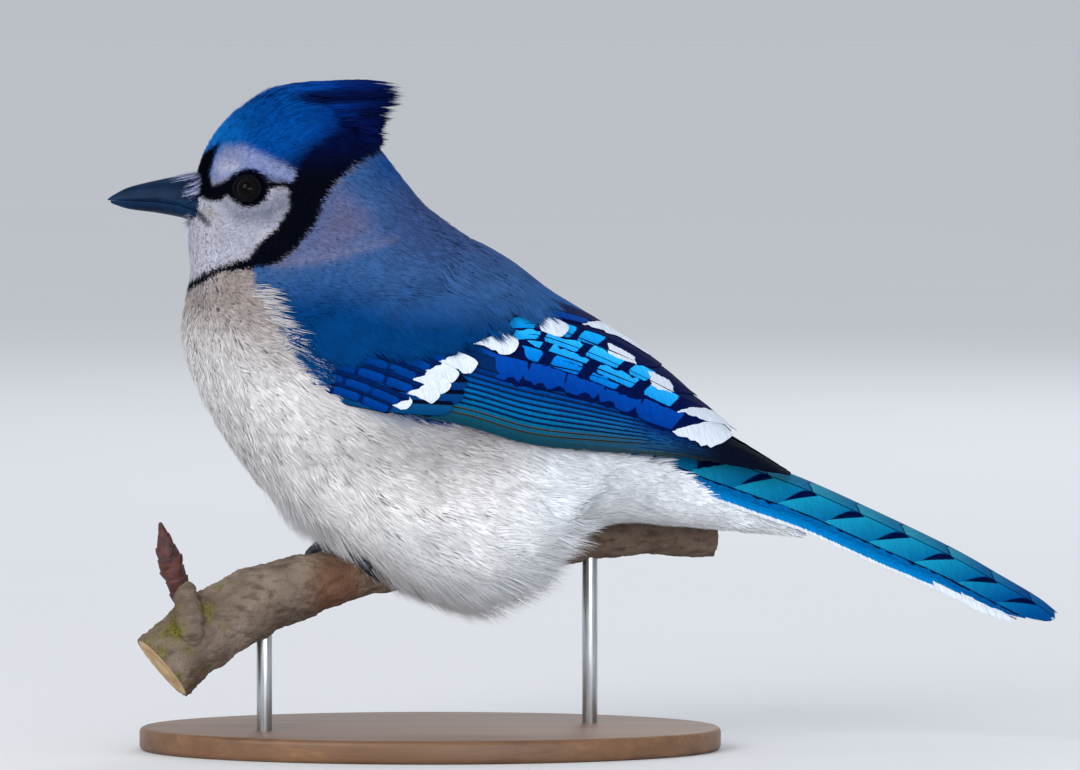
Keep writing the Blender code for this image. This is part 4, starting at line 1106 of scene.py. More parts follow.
def outline_share(share, length, half, blunt=1.0):
    """A vane's half width along it: a taper at the root and a rounded tip."""
    tip = np.clip(half * blunt / length, 0.02, 0.6)
    close = np.clip((share - (1 - tip)) / tip, 0, 1)
    open_up = eased(-0.02, VANE_ROOT, share) * 0.9 + 0.1
    return open_up * np.sqrt(np.clip(1 - close**2.2, 0, 1)) + 0.004


def vane_grid(share, length, outer_half, inner_half, ragged=0.05, blunt=1.0, skew=1.0):
    """How far across each point of a vane is in mm, outer side positive."""
    widest = max(outer_half, inner_half)
    outer = outer_half * outline_share(share, length, widest, blunt=blunt)
    inner = inner_half * outline_share(share, length, widest, blunt=blunt * skew)
    edge = 1 + rng.normal(0, ragged, (len(share), 2)) * eased(0.05, 0.2, share)[:, None]
    across = np.where(VANE_COLUMNS[None] > 0, (outer * edge[:, 0])[:, None],
                      (inner * edge[:, 1])[:, None])
    return VANE_COLUMNS[None] * across


def cell_depth(place, cells):
    """How far inside a bright cell each place along the feather is; negative in the bars."""
    depth = np.full(place.shape, -3.0)
    for low, high in cells:
        depth = np.maximum(depth, np.minimum(place - low, high - place))
    return depth


def vane_stations(length):
    body = np.linspace(0, 0.93, max(12, int(length * 0.85)), endpoint=False)
    return np.concatenate([body, 1 - (1 - np.linspace(0, 1, 7)) ** 1.5 * 0.07])


# %% [markdown]
# The folded wing is a curved surface. A place on it is a place along X and an angle from the
# widest line, so that a feather bends round it without being stretched.

# %% The wing as a surface
DARK_BAR = tone("#031040")
WORN_EDGE = tone("#34383a")
DUSK = tone("#0a0f1e")
RIDGE = 1.62  # the angle of the line where the two wings meet, and a little past it
CELL_FOOT = np.array((0.3, 0.72, 0.84))  # how a bright cell deepens toward the feather's lower edge


def wing_frame(x):
    """The height of the widest line at x, and how tall and wide the wing's curve is there."""
    middle = along(WING_MIDDLE, x)
    return middle, along(BACK_LINE, x) - middle, along(WING_WIDTH, x)


def wing_turn(x, z):
    """The angle on the wing's curve, from its widest line, of a height in the side view."""
    middle, tall, _ = wing_frame(x)
    return np.arcsin(np.clip((z - middle) / tall, -0.97, 0.97))


def wing_place(x, turn, height):
    """The point at an angle on the wing's curve, that height above it, and the normal."""
    middle, tall, wide = wing_frame(x)
    normal = unit(np.stack([np.zeros_like(turn), np.cos(turn) / wide, np.sin(turn) / tall], -1))
    normal = unit(normal + np.array((0.12, 0, 0)))
    place = np.stack([x, wide * np.cos(turn), middle + tall * np.sin(turn)], -1)
    return place + normal * height[..., None], normal


def wing_pace(x, turn):
    """Millimetres along the wing's curve to a radian."""
    _, tall, wide = wing_frame(x)
    return np.hypot(tall * np.cos(turn), wide * np.sin(turn))


def on_wing(x, z, across, nx, nz, height):
    """A point on the wing's surface, a distance across from (x, z) and a height above it."""
    x = x + across * nx
    turn = wing_turn(x, z)
    for _ in range(5):
        turn = np.clip(turn + across / 5 * nz / wing_pace(x, turn), -1.5, RIDGE)
    return wing_place(x, turn, height)


print("the ridge is at", round(math.degrees(RIDGE)), "degrees")

# %% [markdown]
# A wing feather starts as a line in the side view. Its vanes are laid across that line on the
# curved surface, its shaft stands a little proud, and its root sinks under the feathers above.

# %% A feather on the wing
NO_WHITE = 999.0  # where the white tip starts on a feather that has none
FAR = 99.0  # a limit past every edge
ALL_BRIGHT = ((-FAR, FAR),)


def wing_feather(side, edge, outer_half, inner_half, layer, bright, plain, cells=(), white=NO_WHITE,
                 slant=0.25, rim=0.3, notches=(), blunt=1.0, settle=1.6, curve=150.0, tip_slant=0.0,
                 skew=1.0, worn=0.0, white_wide=FAR, white_foot=-FAR, dusk=0.0):
    """A feather from the line of its lower edge in the side view, as a sheet on the wing."""
    edge = np.array(edge, float)
    lengths = run_along(edge)
    length = lengths[-1]
    share = vane_stations(length)
    knots = np.interp(share * length, lengths, np.arange(len(edge)))
    line = smooth_rows(edge, knots)
    heading = unit(np.gradient(line, share, axis=0))
    # a few passes smooth the headings, so that the vanes have no kinks
    for _ in range(3):
        heading[1:-1] = unit(heading[:-2] + 2 * heading[1:-1] + heading[2:])
    down = np.stack([heading[:, 1], -heading[:, 0]], 1)
    across = vane_grid(share, length, outer_half, inner_half, blunt=blunt, skew=skew)
    x, z = line.T
    shaft = np.exp(-((across / 0.25) ** 2)) * SHAFT_WIDTH * (1 - 0.6 * share)[:, None]
    # the root sinks, the vanes curve down from the shaft, and the shaft stands up
    root_sink = settle * eased(12.0, 0.0, share * length)[:, None]
    height = layer - root_sink - across * across / curve + shaft
    ones = np.ones_like(across)
    upper, normal = on_wing(x[:, None] * ones, z[:, None] * ones, across - outer_half,
                            down[:, :1] * ones, down[:, 1:] * ones, height)
    lower = upper - normal * (VANE_THICK + shaft[..., None] * 0.8)
    # how far inside a bright cell, within the rims and clear of the notches
    place = line[:, :1] + slant * across
    depth = np.minimum(cell_depth(place, cells), across - 0.2)
    depth = np.minimum(depth, outer_half * 0.985 - rim - across)
    for notch in notches:
        away = np.hypot((place - notch) * 0.8, (outer_half - across) * 0.75)
        depth = np.minimum(depth, away - NOTCH_RADIUS)
    # how far inside the white tip
    tip = place + tip_slant * np.maximum(across, -0.5) - white + 0.25 * np.sin(across * 3.0 + white)
    tip = np.minimum(np.minimum(tip, white_wide - tip), across - white_foot)
    marks = np.stack([depth, tip, SHAFT_WIDTH * 0.6 - np.abs(across)], -1)
    marks[..., 2] = np.where(tip > 0, -1, marks[..., 2])
    run = (share * length)[:, None]
    seed = rng.uniform(0, 90)
    lean = run - np.abs(across) * BARB_LEAN
    weave = np.stack([lean * 3.4, across * 0.35, seed * ones], -1)
    # colours: a cell deepens toward its foot, worn feathers fade and tips darken
    fade = (eased(20, 62, place) * worn)[..., None]
    deep = eased(0.0, 1.1, across / outer_half)[..., None]
    bright = bright * mixed(1.12, CELL_FOOT, deep) * rng.uniform(0.93, 1.07)
    bright = mixed(bright, WORN_EDGE, fade)
    dusk = eased(54, 78, place)[..., None] * dusk
    bright, plain = mixed(bright, DUSK, dusk), mixed(plain * ones[..., None], DUSK, dusk)
    flip = np.array((1.0, side, 1.0))
    grids = (upper * flip, lower * flip, bright, plain, marks, weave, np.full(upper.shape, -1.0))
    return grids if side < 0 else tuple(grid[:, ::-1] for grid in grids)


# %% [markdown]
# The barred tertials and secondaries come first, from the top of the folded wing down. The
# numbers are the lower edge of each strip, then where its bright cells start and end along X.

# %% Tertials and secondaries
# lower edge, outer and inner half width, layer, bright cells, where the white starts, how it
# slants, how wide it is and how far out it starts, colour, and how much further back the tip's
# inner side starts to close
INNER_FLIGHT = (
    (((18.3, 113.8), (28.7, 112.8), (40.5, 109.9), (56.0, 103.8)),
     3.0, 10.0, 1.9, ((30, 40.5),), 41.6, 0.4, FAR, -FAR, "#033a88", 2.0),
    (((17.0, 111.7), (21.4, 110.7), (27.9, 109.6), (37.1, 106.7), (44.1, 104.4), (50.6, 101.0),
      (57.0, 97.4)),
     5.0, 11.5, 1.65, ((21.4, 27.9), (29.8, 37.1), (38.9, 44.1)),
     43.6, -0.8, 7.0, 1.8, "#109ae2", 2.4),
    (((17.0, 109.1), (22.4, 107.8), (28.7, 107.0), (38.9, 103.2), (49.3, 98.9), (56.9, 95.3),
      (67.0, 90.8)),
     5.0, 10.5, 1.45, ((22.4, 28.7), (30.3, 38.9), (41.0, 49.3), (51.9, 56.9)),
     54.6, -0.8, 6.0, 0.6, "#28a8ec", 2.2),
    (((17.0, 106.2), (23.0, 104.9), (28.7, 104.1), (40.7, 99.7), (53.0, 94.0), (63.2, 89.0),
      (67.9, 87.4), (77.6, 83.2)),
     5.0, 7.5, 1.25, ((23.0, 29.0), (31.3, 40.7), (43.6, 53.0), (55.9, 63.2)),
     70.0, 0.9, FAR, -FAR, "#22a2ea", 1.8),
    (((15.1, 105.2), (19.6, 104.1), (28.7, 101.4), (39.1, 97.9), (48.8, 94.0), (57.4, 90.6)),
     4.0, 6.0, 1.1, ((21.4, 28.7), (31.6, 38.9), (41.8, 48.8)),
     NO_WHITE, 0, FAR, -FAR, "#057cd4", 1.0),
    (((9.4, 102.3), (15.7, 98.7), (22.4, 96.8), (29.5, 95.3), (34.7, 94.2), (41.5, 92.4),
      (47.8, 90.0), (54.8, 86.9), (62.6, 84.0), (70.5, 80.4), (76.2, 78.2)),
     6.6, 4.5, 0.95, ((2, 24.6), (25.4, 34.6), (35.4, 44), (44.8, 53), (53.8, 64)),
     69.0, 0.7, FAR, -FAR, "#043f98", 1.4),
)
NOTCHES = (16.7, 22.4, 26.6, 30.0, 34.7, 41.5, 47.8, 53.8)
NOTCH_RADIUS = 1.25


def inner_flight(side):
    sheets = []
    for row in INNER_FLIGHT:
        edge, outer_half, inner_half, layer, cells = row[:5]
        white, tip_slant, white_wide, foot, code, skew = row[5:]
        sheets.append(wing_feather(side, edge, outer_half, inner_half, layer, tone(code), DARK_BAR,
                                   cells, white, notches=NOTCHES if row is INNER_FLIGHT[-1] else (),
                                   tip_slant=tip_slant, white_wide=white_wide,
                                   white_foot=foot, skew=skew))
    return sheets


# %% [markdown]
# The primaries fan out between two lines, the lower edge of the last secondary and the lower
# edge of the wing. The outer ones fade to brown, as worn edges do.

# %% Primaries
PRIMARY_TOP = ((-2.0, 104.5), (9.4, 101.0), (18.3, 98.0), (28.7, 95.3), (47.8, 90.0),
               (62.6, 84.0), (75.7, 78.6), (86.1, 75.4), (93.7, 72.8))
PRIMARY_LOW = ((-12.0, 91.5), (-1.3, 88.6), (10.4, 86.0), (26.1, 81.4), (44.4, 79.3),
               (65.2, 77.5), (79.6, 74.9), (86.5, 73.6), (93.4, 72.2))
PRIMARIES = 10
PRIMARY_TONES = ("#002c70", "#003a80", "#00468a", "#005492", "#005c94", "#006094", "#006090",
                 "#00587e", "#04506e", "#12404f")
PRIMARY_WEAR = 0.05
PALE_EDGES_FROM = 8


def primaries(side):
    sheets = []
    high, low = np.array(PRIMARY_TOP), np.array(PRIMARY_LOW)
    for i in range(PRIMARIES):
        share = (i + 1) / PRIMARIES
        line = mixed(high, low, share)
        last = mixed(5.2, 8, min(1, 0.35 + share))
        edge = smooth_rows(line, np.linspace(0, last, 9))
        tint = tone(PRIMARY_TONES[i])
        edge_tint = tone("#052656" if i < PALE_EDGES_FROM else "#3c4440")
        sheets.append(wing_feather(side, edge, 2.9, 3.8 - 0.2 * i, 0.45 - 0.07 * i, tint,
                                   edge_tint, ALL_BRIGHT, rim=0.12, settle=1.0, blunt=2.2,
                                   curve=60.0, worn=PRIMARY_WEAR * i, dusk=1.0))
    return sheets


# %% [markdown]
# The greater coverts close over the roots of the flight feathers. Each is a short barred
# feather with a rounded white tip, and the tips make the wing bar. Below them the plain primary
# coverts close over the primaries in the same way.

# %% Coverts
# root and tip of the shaft in the side view, outer and inner half width, layer, length of white
GREATER_COVERTS = (
    ((19.6, 115.2), (35.4, 109.6), 3.0, 2.6, 2.2, 8.6),
    ((2.5, 113.0), (22.6, 106.2), 3.3, 2.2, 2.0, 7.4),
    ((-22.0, 113.0), (12.4, 102.0), 3.5, 1.2, 1.6, 7.2),
    ((-25.0, 110.4), (7.6, 99.4), 3.1, 1.2, 1.45, 6.6),
    ((-27.0, 107.6), (5.6, 96.6), 3.0, 1.2, 1.3, 8.0),
    ((-29.0, 104.6), (2.8, 94.2), 2.6, 1.2, 1.15, 6.0),
    ((-31.0, 101.6), (-4.4, 92.4), 2.6, 1.2, 1.0, 2.4),
    ((-32.0, 98.6), (-9.5, 91.4), 2.4, 1.2, 0.75, 0.0),
)
# the bright cells: how far before the white tip each starts and ends
COVERT_CELLS = ((7.6, 1.5), (14.8, 8.6), (22.0, 16.0), (28.8, 23.2), (35.0, 30.0))
PRIMARY_COVERTS = (
    ((-22.0, 99.0), (8.6, 97.6), "#052a66"), ((-24.0, 97.0), (9.8, 94.4), "#06306c"),
    ((-26.0, 95.0), (9.0, 91.4), "#05376e"), ((-28.0, 93.0), (6.0, 88.6), "#0a4574"),
)


def covert(side, root, tip, outer_half, inner_half, layer, white):
    root, tip = np.array(root), np.array(tip)
    down = unit(np.array((tip - root)[[1, 0]] * (1, -1)))
    middle = (root + tip) / 2 - down * 0.8
    edge = np.array([root, middle, tip]) + down * outer_half
    start = tip[0] - white
    cells = [(start - far, start - near) for far, near in COVERT_CELLS]
    return wing_feather(side, edge, outer_half, inner_half, layer, tone("#003680"), tone("#021c50"),
                        cells, start if white else NO_WHITE, slant=0.1, rim=0.1, settle=layer + 2.4,
                        curve=16.0, blunt=0.9, tip_slant=0.9)


def coverts(side):
    sheets = []
    for i, (root, tip, code) in enumerate(PRIMARY_COVERTS):
        edge = (root, ((root[0] + tip[0]) / 2, (root[1] + tip[1]) / 2 - 1.0), tip)
        sheets.append(wing_feather(side, edge, 3.2, 2.4, 1.0 - 0.15 * i, tone(code),
                                   tone("#030a20"), ALL_BRIGHT, rim=0.15, settle=3.0,
                                   curve=22.0, blunt=1.4))
    for row in GREATER_COVERTS[::-1]:
        sheets.append(covert(side, *row))
    return sheets


for side, side_name in SIDES:
    sheets = primaries(side) + inner_flight(side)[::-1] + coverts(side)
    wing = joined_sheets("flight_feathers_" + side_name, sheets)
    lodge(wing, ("wing_" + side_name,))


# %% [markdown]
# Soft feathers of the shoulder lie over the roots of the coverts and tertials, so that the wing
# comes out from under the mantle with no edge.

# %% Scapulars
# x, lower and upper edge of their roots in the side view
SCAPULAR_ROOTS = ((-32, 108.5, 117), (-16, 110.5, 121.5), (4, 112.5, 124), (10, 115.5, 124),
                  (18, 117.5, 123.5), (27, 119.3, 121.5), (33, 119.5, 121.5))
SCAPULAR_RAMP = 9.5  # below their upper edge they leave the body for the wing over this height
RIDGE_FROM = (2, 11)  # over this stretch of X their upper edge rises to the ridge
BODY_TO_WING = (24, 8)  # over this stretch of X they leave the body for the wing
SCAPULARS = 740
SCAPULAR_BARBS = 19
SCAPULAR_LIE = 31  # degrees below the way to the tail
# height over the wing's surface at the root, middle and end of a barb
SCAPULAR_LIFT = (0.4, 1.9, 2.1)


def scapulars(side, side_name):
    """The shoulder's loose feathers on one side, as one piece of barbs."""
    x = rng.uniform(SCAPULAR_ROOTS[0][0], SCAPULAR_ROOTS[-1][0], SCAPULARS)
    high = mixed(wing_turn(x, along(SCAPULAR_ROOTS, x, 2)), RIDGE, eased(*RIDGE_FROM, x))
    turn = mixed(wing_turn(x, along(SCAPULAR_ROOTS, x, 1)), high, rng.random(SCAPULARS))
    angle = SCAPULAR_LIE * eased(RIDGE, 1.0, turn) + rng.normal(0, 4, SCAPULARS)
    angle = np.radians(angle)[:, None]
    pace = wing_pace(x, turn)[:, None]
    length = rng.uniform(8, 10.5, SCAPULARS)
    half = np.full(SCAPULARS, 2.6)
    start, middle, end, fan = fan_of(half, length, np.full(SCAPULARS, 0.12), SCAPULAR_BARBS)
    layer = rng.uniform(0.0, 0.6, (SCAPULARS, 1)) * np.array((0, 1, 1))[:, None, None]
    rows = []
    steps = zip((start, middle, end), (0.2, 0.7, 1.0), SCAPULAR_LIFT, layer)
    for share, out, height, tier in steps:
        run = share * length[:, None]
        px = x[:, None] + run * np.cos(angle) + fan * out * np.sin(angle)
        down = run * np.sin(angle) - fan * out * np.cos(angle)
        height = (height + tier) * mixed(0.45, 1.0, eased(-30, 0, px))
        height = height * mixed(1.0, 0.6, eased(1.0, 1.4, turn[:, None]))
        place, up = wing_place(px, turn[:, None] - down / pace, height)
        above = (place[..., 2] - along(SCAPULAR_ROOTS, px, 2)).reshape(-1, 1)
        place = (place * (1, side, 1)).reshape(-1, 3)
        near, away = onto_skin(place)
        inward = eased(-SCAPULAR_RAMP, 0, above) * eased(*BODY_TO_WING, px).reshape(-1, 1)
        rows.append(mixed(place, near + away * height.reshape(-1, 1), inward))
    up = (up * (1, side, 1)).reshape(-1, 3)
    colours = plumage(rows[1]) * rng.normal(1, 0.06, (len(up), 1))
    points = blades(*rows, up, rng.uniform(0.14, 0.2, len(up)))
    patches = np.column_stack([(rows[0][:, 0] + 34) / 90, (rows[0][:, 2] - 90) / 40])
    return blade_piece("scapulars_" + side_name, points, colours, np.clip(patches, 0, 0.99), up)


for side, side_name in SIDES:
    lodge(scapulars(side, side_name))


# %% [markdown]
# ## The tail
# Twelve feathers lie in a closed tail like slates on a narrow roof, six a side, the middle pair
# on top. The roof is a round shell along the line of the tail, turned a little toward the bird's
# left. A feather is a strip of that shell: its shaft at an arc length from the ridge.

# %% Tail feathers
TAIL_LINE = ((52.0, 87.0), (60.0, 84.6), (93.7, 72.4), (114.8, 63.2), (136.2, 53.0), (148.8, 45.9),
             (159.0, 39.9), (164.2, 35.8))
# x, half width and depth of the roof
TAIL_ROOF = ((52, 17.0, 9.1), (60, 15.5, 10.0), (75, 13.0, 11.4), (90, 11.0, 11.4),
             (102, 9.6, 10.9), (122, 8.6, 10.9), (148, 8.0, 9.6), (165, 7.0, 8.0))
TAIL_ARC = 9.0  # millimetres of roof to a radian
TAIL_TURN = math.radians(14)
LEFT_LAYERS = 1.15  # the left half's layers are this much further apart, so the halves never touch
# shaft's distance from the ridge, outer and inner half width, layer, end along X, start of white
TAIL_FEATHERS = (
    (10.9, 2.7, 5.5, -1.5, 157.0, 136.0), (9.6, 2.0, 5.5, -1.3, 157.0, 143.0),
    (8.2, 2.8, 5.5, -1.1, 158.6, 151.0), (6.7, 4.0, 5.5, -0.9, 161.0, 156.0),
    (5.2, 5.1, 6.0, -0.6, 162.8, 159.0), (3.6, 6.0, 6.4, -0.2, 164.2, 163.9),
)
TAIL_TONES = ("#0074b8", "#006eb0", "#0068a8", "#0060a0", "#005c9c", "#1288aa")
TAIL_BARS = (76.9, 88.0, 99.7, 112.1, 123.9, 135.8, 147.3, 157.0)


def tail_feather(side, shaft_at, outer_half, inner_half, layer, end, white, code):
    """A tail feather as a sheet on the tail's round shell."""
    line = resampled(TAIL_LINE, 200)
    line = line[line[:, 0] <= end + 0.2]
    run = run_along(line)
    share = vane_stations(run[-1])
    middle = np.column_stack([np.interp(share * run[-1], run, column) for column in line.T])
    x, z = middle[:, :1], middle[:, 1:]
    heading = unit(np.gradient(middle, share, axis=0))
    across = vane_grid(share, run[-1], outer_half, inner_half, ragged=0.03, blunt=2.0)
    # a place on the round shell, by its distance from the ridge
    arc = side * (shaft_at + across)
    shaft = np.exp(-((across / 0.3) ** 2)) * 0.3 * (1 - 0.6 * share)[:, None]
    turn = arc / TAIL_ARC + TAIL_TURN
    level = layer * (1 if side > 0 else LEFT_LAYERS) + shaft - across**2 / 160
    wide, deep = (along(TAIL_ROOF, x, column) for column in (1, 2))
    out = -(wide + level) * np.sin(turn) + wide * math.sin(TAIL_TURN) * 0.5 * eased(60, 110, x)
    rise = (deep + level) * np.cos(turn) - deep
    place = np.stack([x - heading[:, 1:] * rise, out, z + heading[:, :1] * rise], -1)
    inward = np.stack([heading[:, 1:] * np.cos(turn), np.sin(turn),
                       -heading[:, :1] * np.cos(turn)], -1)
    lower = place + inward * (0.16 + shaft[..., None] * 0.8)
    # the dark bars slant, and only the top pair has them
    bars_at = (40.0, *TAIL_BARS, 169.0)
    slanted = x + np.where(across > 0, 1.25, -0.5) * across - 1.0
    bar_at = np.interp(slanted, bars_at, np.arange(len(bars_at)))
    girth = np.where(across > 0, 0.16 * (1 - np.abs(across / 4.9) ** 1.4), 0.02)
    top_pair = shaft_at < 5
    bars = np.stack([np.where(top_pair, bar_at, -1.0), np.where(top_pair, girth, -1.0),
                     np.zeros_like(across)], -1)
    rim = 0.12 if shaft_at < 4 else -0.5
    depth = outer_half * 0.985 - rim - across
    tip = x - white + 0.5 * np.sin(across * 2.2)
    if shaft_at > 10:
        tip = np.maximum(tip, across - outer_half + 0.85)
    marks = np.stack([depth, tip, 0.16 - np.abs(across)], -1)
    lean = (share * run[-1])[:, None] - np.abs(across) * BARB_LEAN
    weave = np.stack([lean * 3.0, across * 0.3, np.full_like(across, rng.uniform(0, 90))], -1)
    pale = eased(0.4, -1.5, across)[..., None] * 0.5 * (shaft_at < 5)
    bright = mixed(tone(code), tone("#3f7f90"), pale)
    bright = mixed(bright, tone("#00488c"), eased(130, 163, x)[..., None] * 0.9)
    plain = np.broadcast_to(tone("#06102c"), bright.shape)
    if side > 0:
        return place, lower, bright, plain, marks, weave, bars
    return tuple(grid[:, ::-1] for grid in (place, lower, bright, plain, marks, weave, bars))


sheets = []
for feather, code in zip(TAIL_FEATHERS, TAIL_TONES):
    for side in (-1, 1):
        sheets.append(tail_feather(side, *feather, code))
lodge(joined_sheets("tail_feathers", sheets), ("tail",))

# %% [markdown]
# ## The crest
# The crest is long crown feathers that can be raised. Here they lie back and stand out behind
# the head, loose at the tips. Each is a curve from its root on the crown to its tip, with long
# fine barbs, in tiers from the top one down.

# %% Crest feathers
# root and tip in the side view, how far the roots spread to each side, bow upward
CREST = (
    ((-43.0, 171.6), (-7.4, 173.6), 3.0, 3.9), ((-40.0, 171.6), (-6.8, 172.4), 5.0, 3.0),
    ((-36.0, 170.8), (-6.6, 171.0), 6.4, 2.2), ((-33.0, 169.2), (-7.0, 169.6), 7.4, 1.5),
    ((-31.0, 167.4), (-8.4, 167.8), 8.0, 1.1), ((-29.0, 165.8), (-9.8, 165.8), 8.6, 0.9),
    ((-27.5, 164.0), (-11.0, 163.8), 9.0, 0.8), ((-26.0, 162.4), (-11.9, 162.0), 9.2, 0.6),
    ((-25.0, 160.6), (-11.4, 160.0), 9.2, 0.5), ((-24.0, 158.8), (-12.0, 158.0), 9.0, 0.4),
)
CREST_ACROSS = 13
CREST_BARBS = 26
crest_rows = np.array([(*root, *tip, wide, bow) for root, tip, wide, bow in CREST])
count = len(CREST) * 2 * CREST_ACROSS
tier = np.repeat(np.linspace(0, len(CREST) - 1, len(CREST) * 2), CREST_ACROSS)
aside = np.tile(np.linspace(-1, 1, CREST_ACROSS), len(CREST) * 2) + rng.normal(0, 0.05, count)
row = smooth_rows(crest_rows, np.clip(tier + rng.normal(0, 0.2, count), 0, len(CREST) - 1))
ahead = rng.uniform(-7, 6, count) * (rng.random(count) < 0.6)
rear = rng.uniform(-6.0, 0.6, count) * (rng.random(count) < 0.5) + rng.normal(0.5, 0.5, count)
root = np.column_stack([row[:, 0] - ahead, aside * row[:, 4], row[:, 1] - 0.9 * aside**2])
tip = np.column_stack([row[:, 2] + rear, aside * (1.5 + row[:, 4] * 0.22),
                       row[:, 3] + rear * 0.06 - 1.0 * aside**2])
outwards = np.sign(aside)[:, None] * np.array((0, 1.0, 0)) * np.abs(aside[:, None])
outwards = unit(outwards + np.column_stack([tier * 0, tier * 0, np.clip(1 - tier / 7, 0.15, 1)]))
bow = outwards * row[:, 5:6]


def on_bow(share):
    """A place on each crest feather's curve."""
    share = share[..., None]
    lifted = (root + tip)[:, None] / 2 + bow[:, None]
    near = mixed(root[:, None], lifted, share)
    return mixed(near, mixed(lifted, tip[:, None], share), share)


across_way = unit(np.cross(outwards, unit(tip - root)))
u = np.linspace(-1, 1, CREST_BARBS)[None] + rng.normal(0, 0.05, (count, CREST_BARBS))
start = 0.1 + 0.5 * rng.random((count, CREST_BARBS))
end = start + 0.42 + rng.normal(0, 0.03, u.shape)
end = np.minimum(end, 1.0 - 0.16 * np.abs(u) + rng.normal(0, 0.03, u.shape))
half = 1.9 * rng.uniform(0.8, 1.15, (count, 1))
rows = []
for share, out, height in ((start, 0.35, 0.0), ((start + end) / 2, 0.85, 0.25), (end, 0.95, 0.1)):
    fan = (u + rng.normal(0, 0.12, u.shape)) * out * half * (1 - 0.8 * share**1.6)
    place = on_bow(share) + across_way[:, None] * fan[..., None]
    rows.append((place + outwards[:, None] * (height - fan**2 / 8)[..., None]).reshape(-1, 3))
facing = np.repeat(outwards, CREST_BARBS, 0)
girth = rng.uniform(0.12, 0.2, len(facing))
points = blades(*rows, facing, girth)
colours = plumage(rows[1] * 0.4 + rows[2] * 0.6)
colours *= np.repeat(rng.normal(1, 0.12, count), CREST_BARBS)[:, None]
colours *= rng.normal(1, 0.1, (len(facing), 1))
patches = np.column_stack([(rows[0][:, 0] + 50) / 50, (rows[0][:, 2] - 150) / 30])
crest = blade_piece("crest_feathers", points, colours, np.clip(patches, 0, 0.99), facing,
                    CREST_SOFTNESS)
lodge(crest)

# %% [markdown]
# ## Bill
# Each half of the bill is a horn sheath over bone. Both are lofted through the same rows: the
# line of the ridge, the mouth line and the keel. A loft is a grid bent round its rings.

# %% Lofts
def lofted(name, rings, material, fill=True):
    """A piece from rings of points: a grid bent round them, its seam welded and ends filled."""
    rings = np.asarray(rings, float)
    bm = bent_grid(np.concatenate([rings, rings[:, :1]], 1), 1e-5)
    if fill:
        bmesh.ops.holes_fill(bm, edges=[edge for edge in bm.edges if edge.is_boundary])
    return piece_of(name, bm, material)


def tube_rings(path, radii, sides):
    """Rings round a path of points, each square to the path there."""
    path = np.asarray(path, float)
    heading = unit(np.gradient(path, axis=0))
    side_way = unit(np.cross(heading, np.array((0.0, 0.35, 1.0))))
    up_way = np.cross(side_way, heading)
    turn = np.linspace(0, 2 * math.pi, sides, endpoint=False)
    spoke = side_way[:, None] * np.cos(turn)[None, :, None]
    spoke = spoke + up_way[:, None] * np.sin(turn)[None, :, None]
    return path[:, None] + spoke * np.asarray(radii, float).reshape(len(path), -1, 1)


# %% [markdown]
# The horn is dark, with a soft gloss and faint growth lines along it. Both halves come from one
# function that closes each ring above or below the mouth line.

# %% The horn of the bill
horn, tree, shader = finish_of("bill horn", Roughness=0.38, Specular_IOR_Level=0.06, IOR=1.54)
streaks = noise_shade(tree, 900, stretch=(0.12, 1, 1))
colour = blended(tree, streaks, "#020d22", "#071f3a")
coloured(tree, shader, blended(tree, noise_shade(tree, 220), colour, "#0a2846"))
bumped(tree, shader, streaks, 0.05, 0.6)

# x, ridge, mouth line, keel, half width
BILL = ((-84.0, 143.9, 143.5, 143.3, 0.25), (-82.2, 145.1, 143.5, 142.4, 1.0),
        (-78.3, 147.0, 143.5, 141.2, 2.2), (-71.0, 148.8, 143.2, 140.2, 3.7),
        (-64.0, 150.2, 142.0, 138.8, 4.9), (-58.0, 150.8, 139.2, 136.6, 5.4))
bill_rows = resampled(BILL, 70)


def bill_half(name, upper):
    rings = []
    turns = np.linspace(0, math.pi, 25)
    for x, ridge, mouth, keel, half in bill_rows:
        edge, crown = (mouth + 0.03, ridge) if upper else (mouth - 0.03, keel)
        x = x if upper else max(x, -83.3)
        swell = np.sin(turns) ** (0.9 if upper else 0.75)
        half = half * (1.0 if upper else 0.94)
        roof = [(x, -half * np.cos(t) * (1 - 0.1 * s), mixed(edge, crown, s))
                for t, s in zip(turns, swell)]
        floor_line = [(x, half * 0.8 * c, mixed(edge, crown, 0.12)) for c in np.linspace(1, -1, 9)]
        rings.append(roof + floor_line[1:-1])
    rings = np.array(rings)
    if not upper:
        rings = rings[np.concatenate([[True], np.diff(rings[:, 0, 0]) > 1e-6])]
    return lofted(name, rings, horn)


for node, upper in (("bill_upper", True), ("bill_lower", False)):
    lodge(bill_half(node + "_horn", upper), (node,))
print("bill from", round(float(bill_rows[0, 0]), 1), "to", round(float(bill_rows[-1, 0]), 1))

# %% [markdown]
# Short bristles grow forward from the face over the nostrils and the base of the bill, and finer
# ones stand round the gape and chin. They hide the joint between horn and skin.

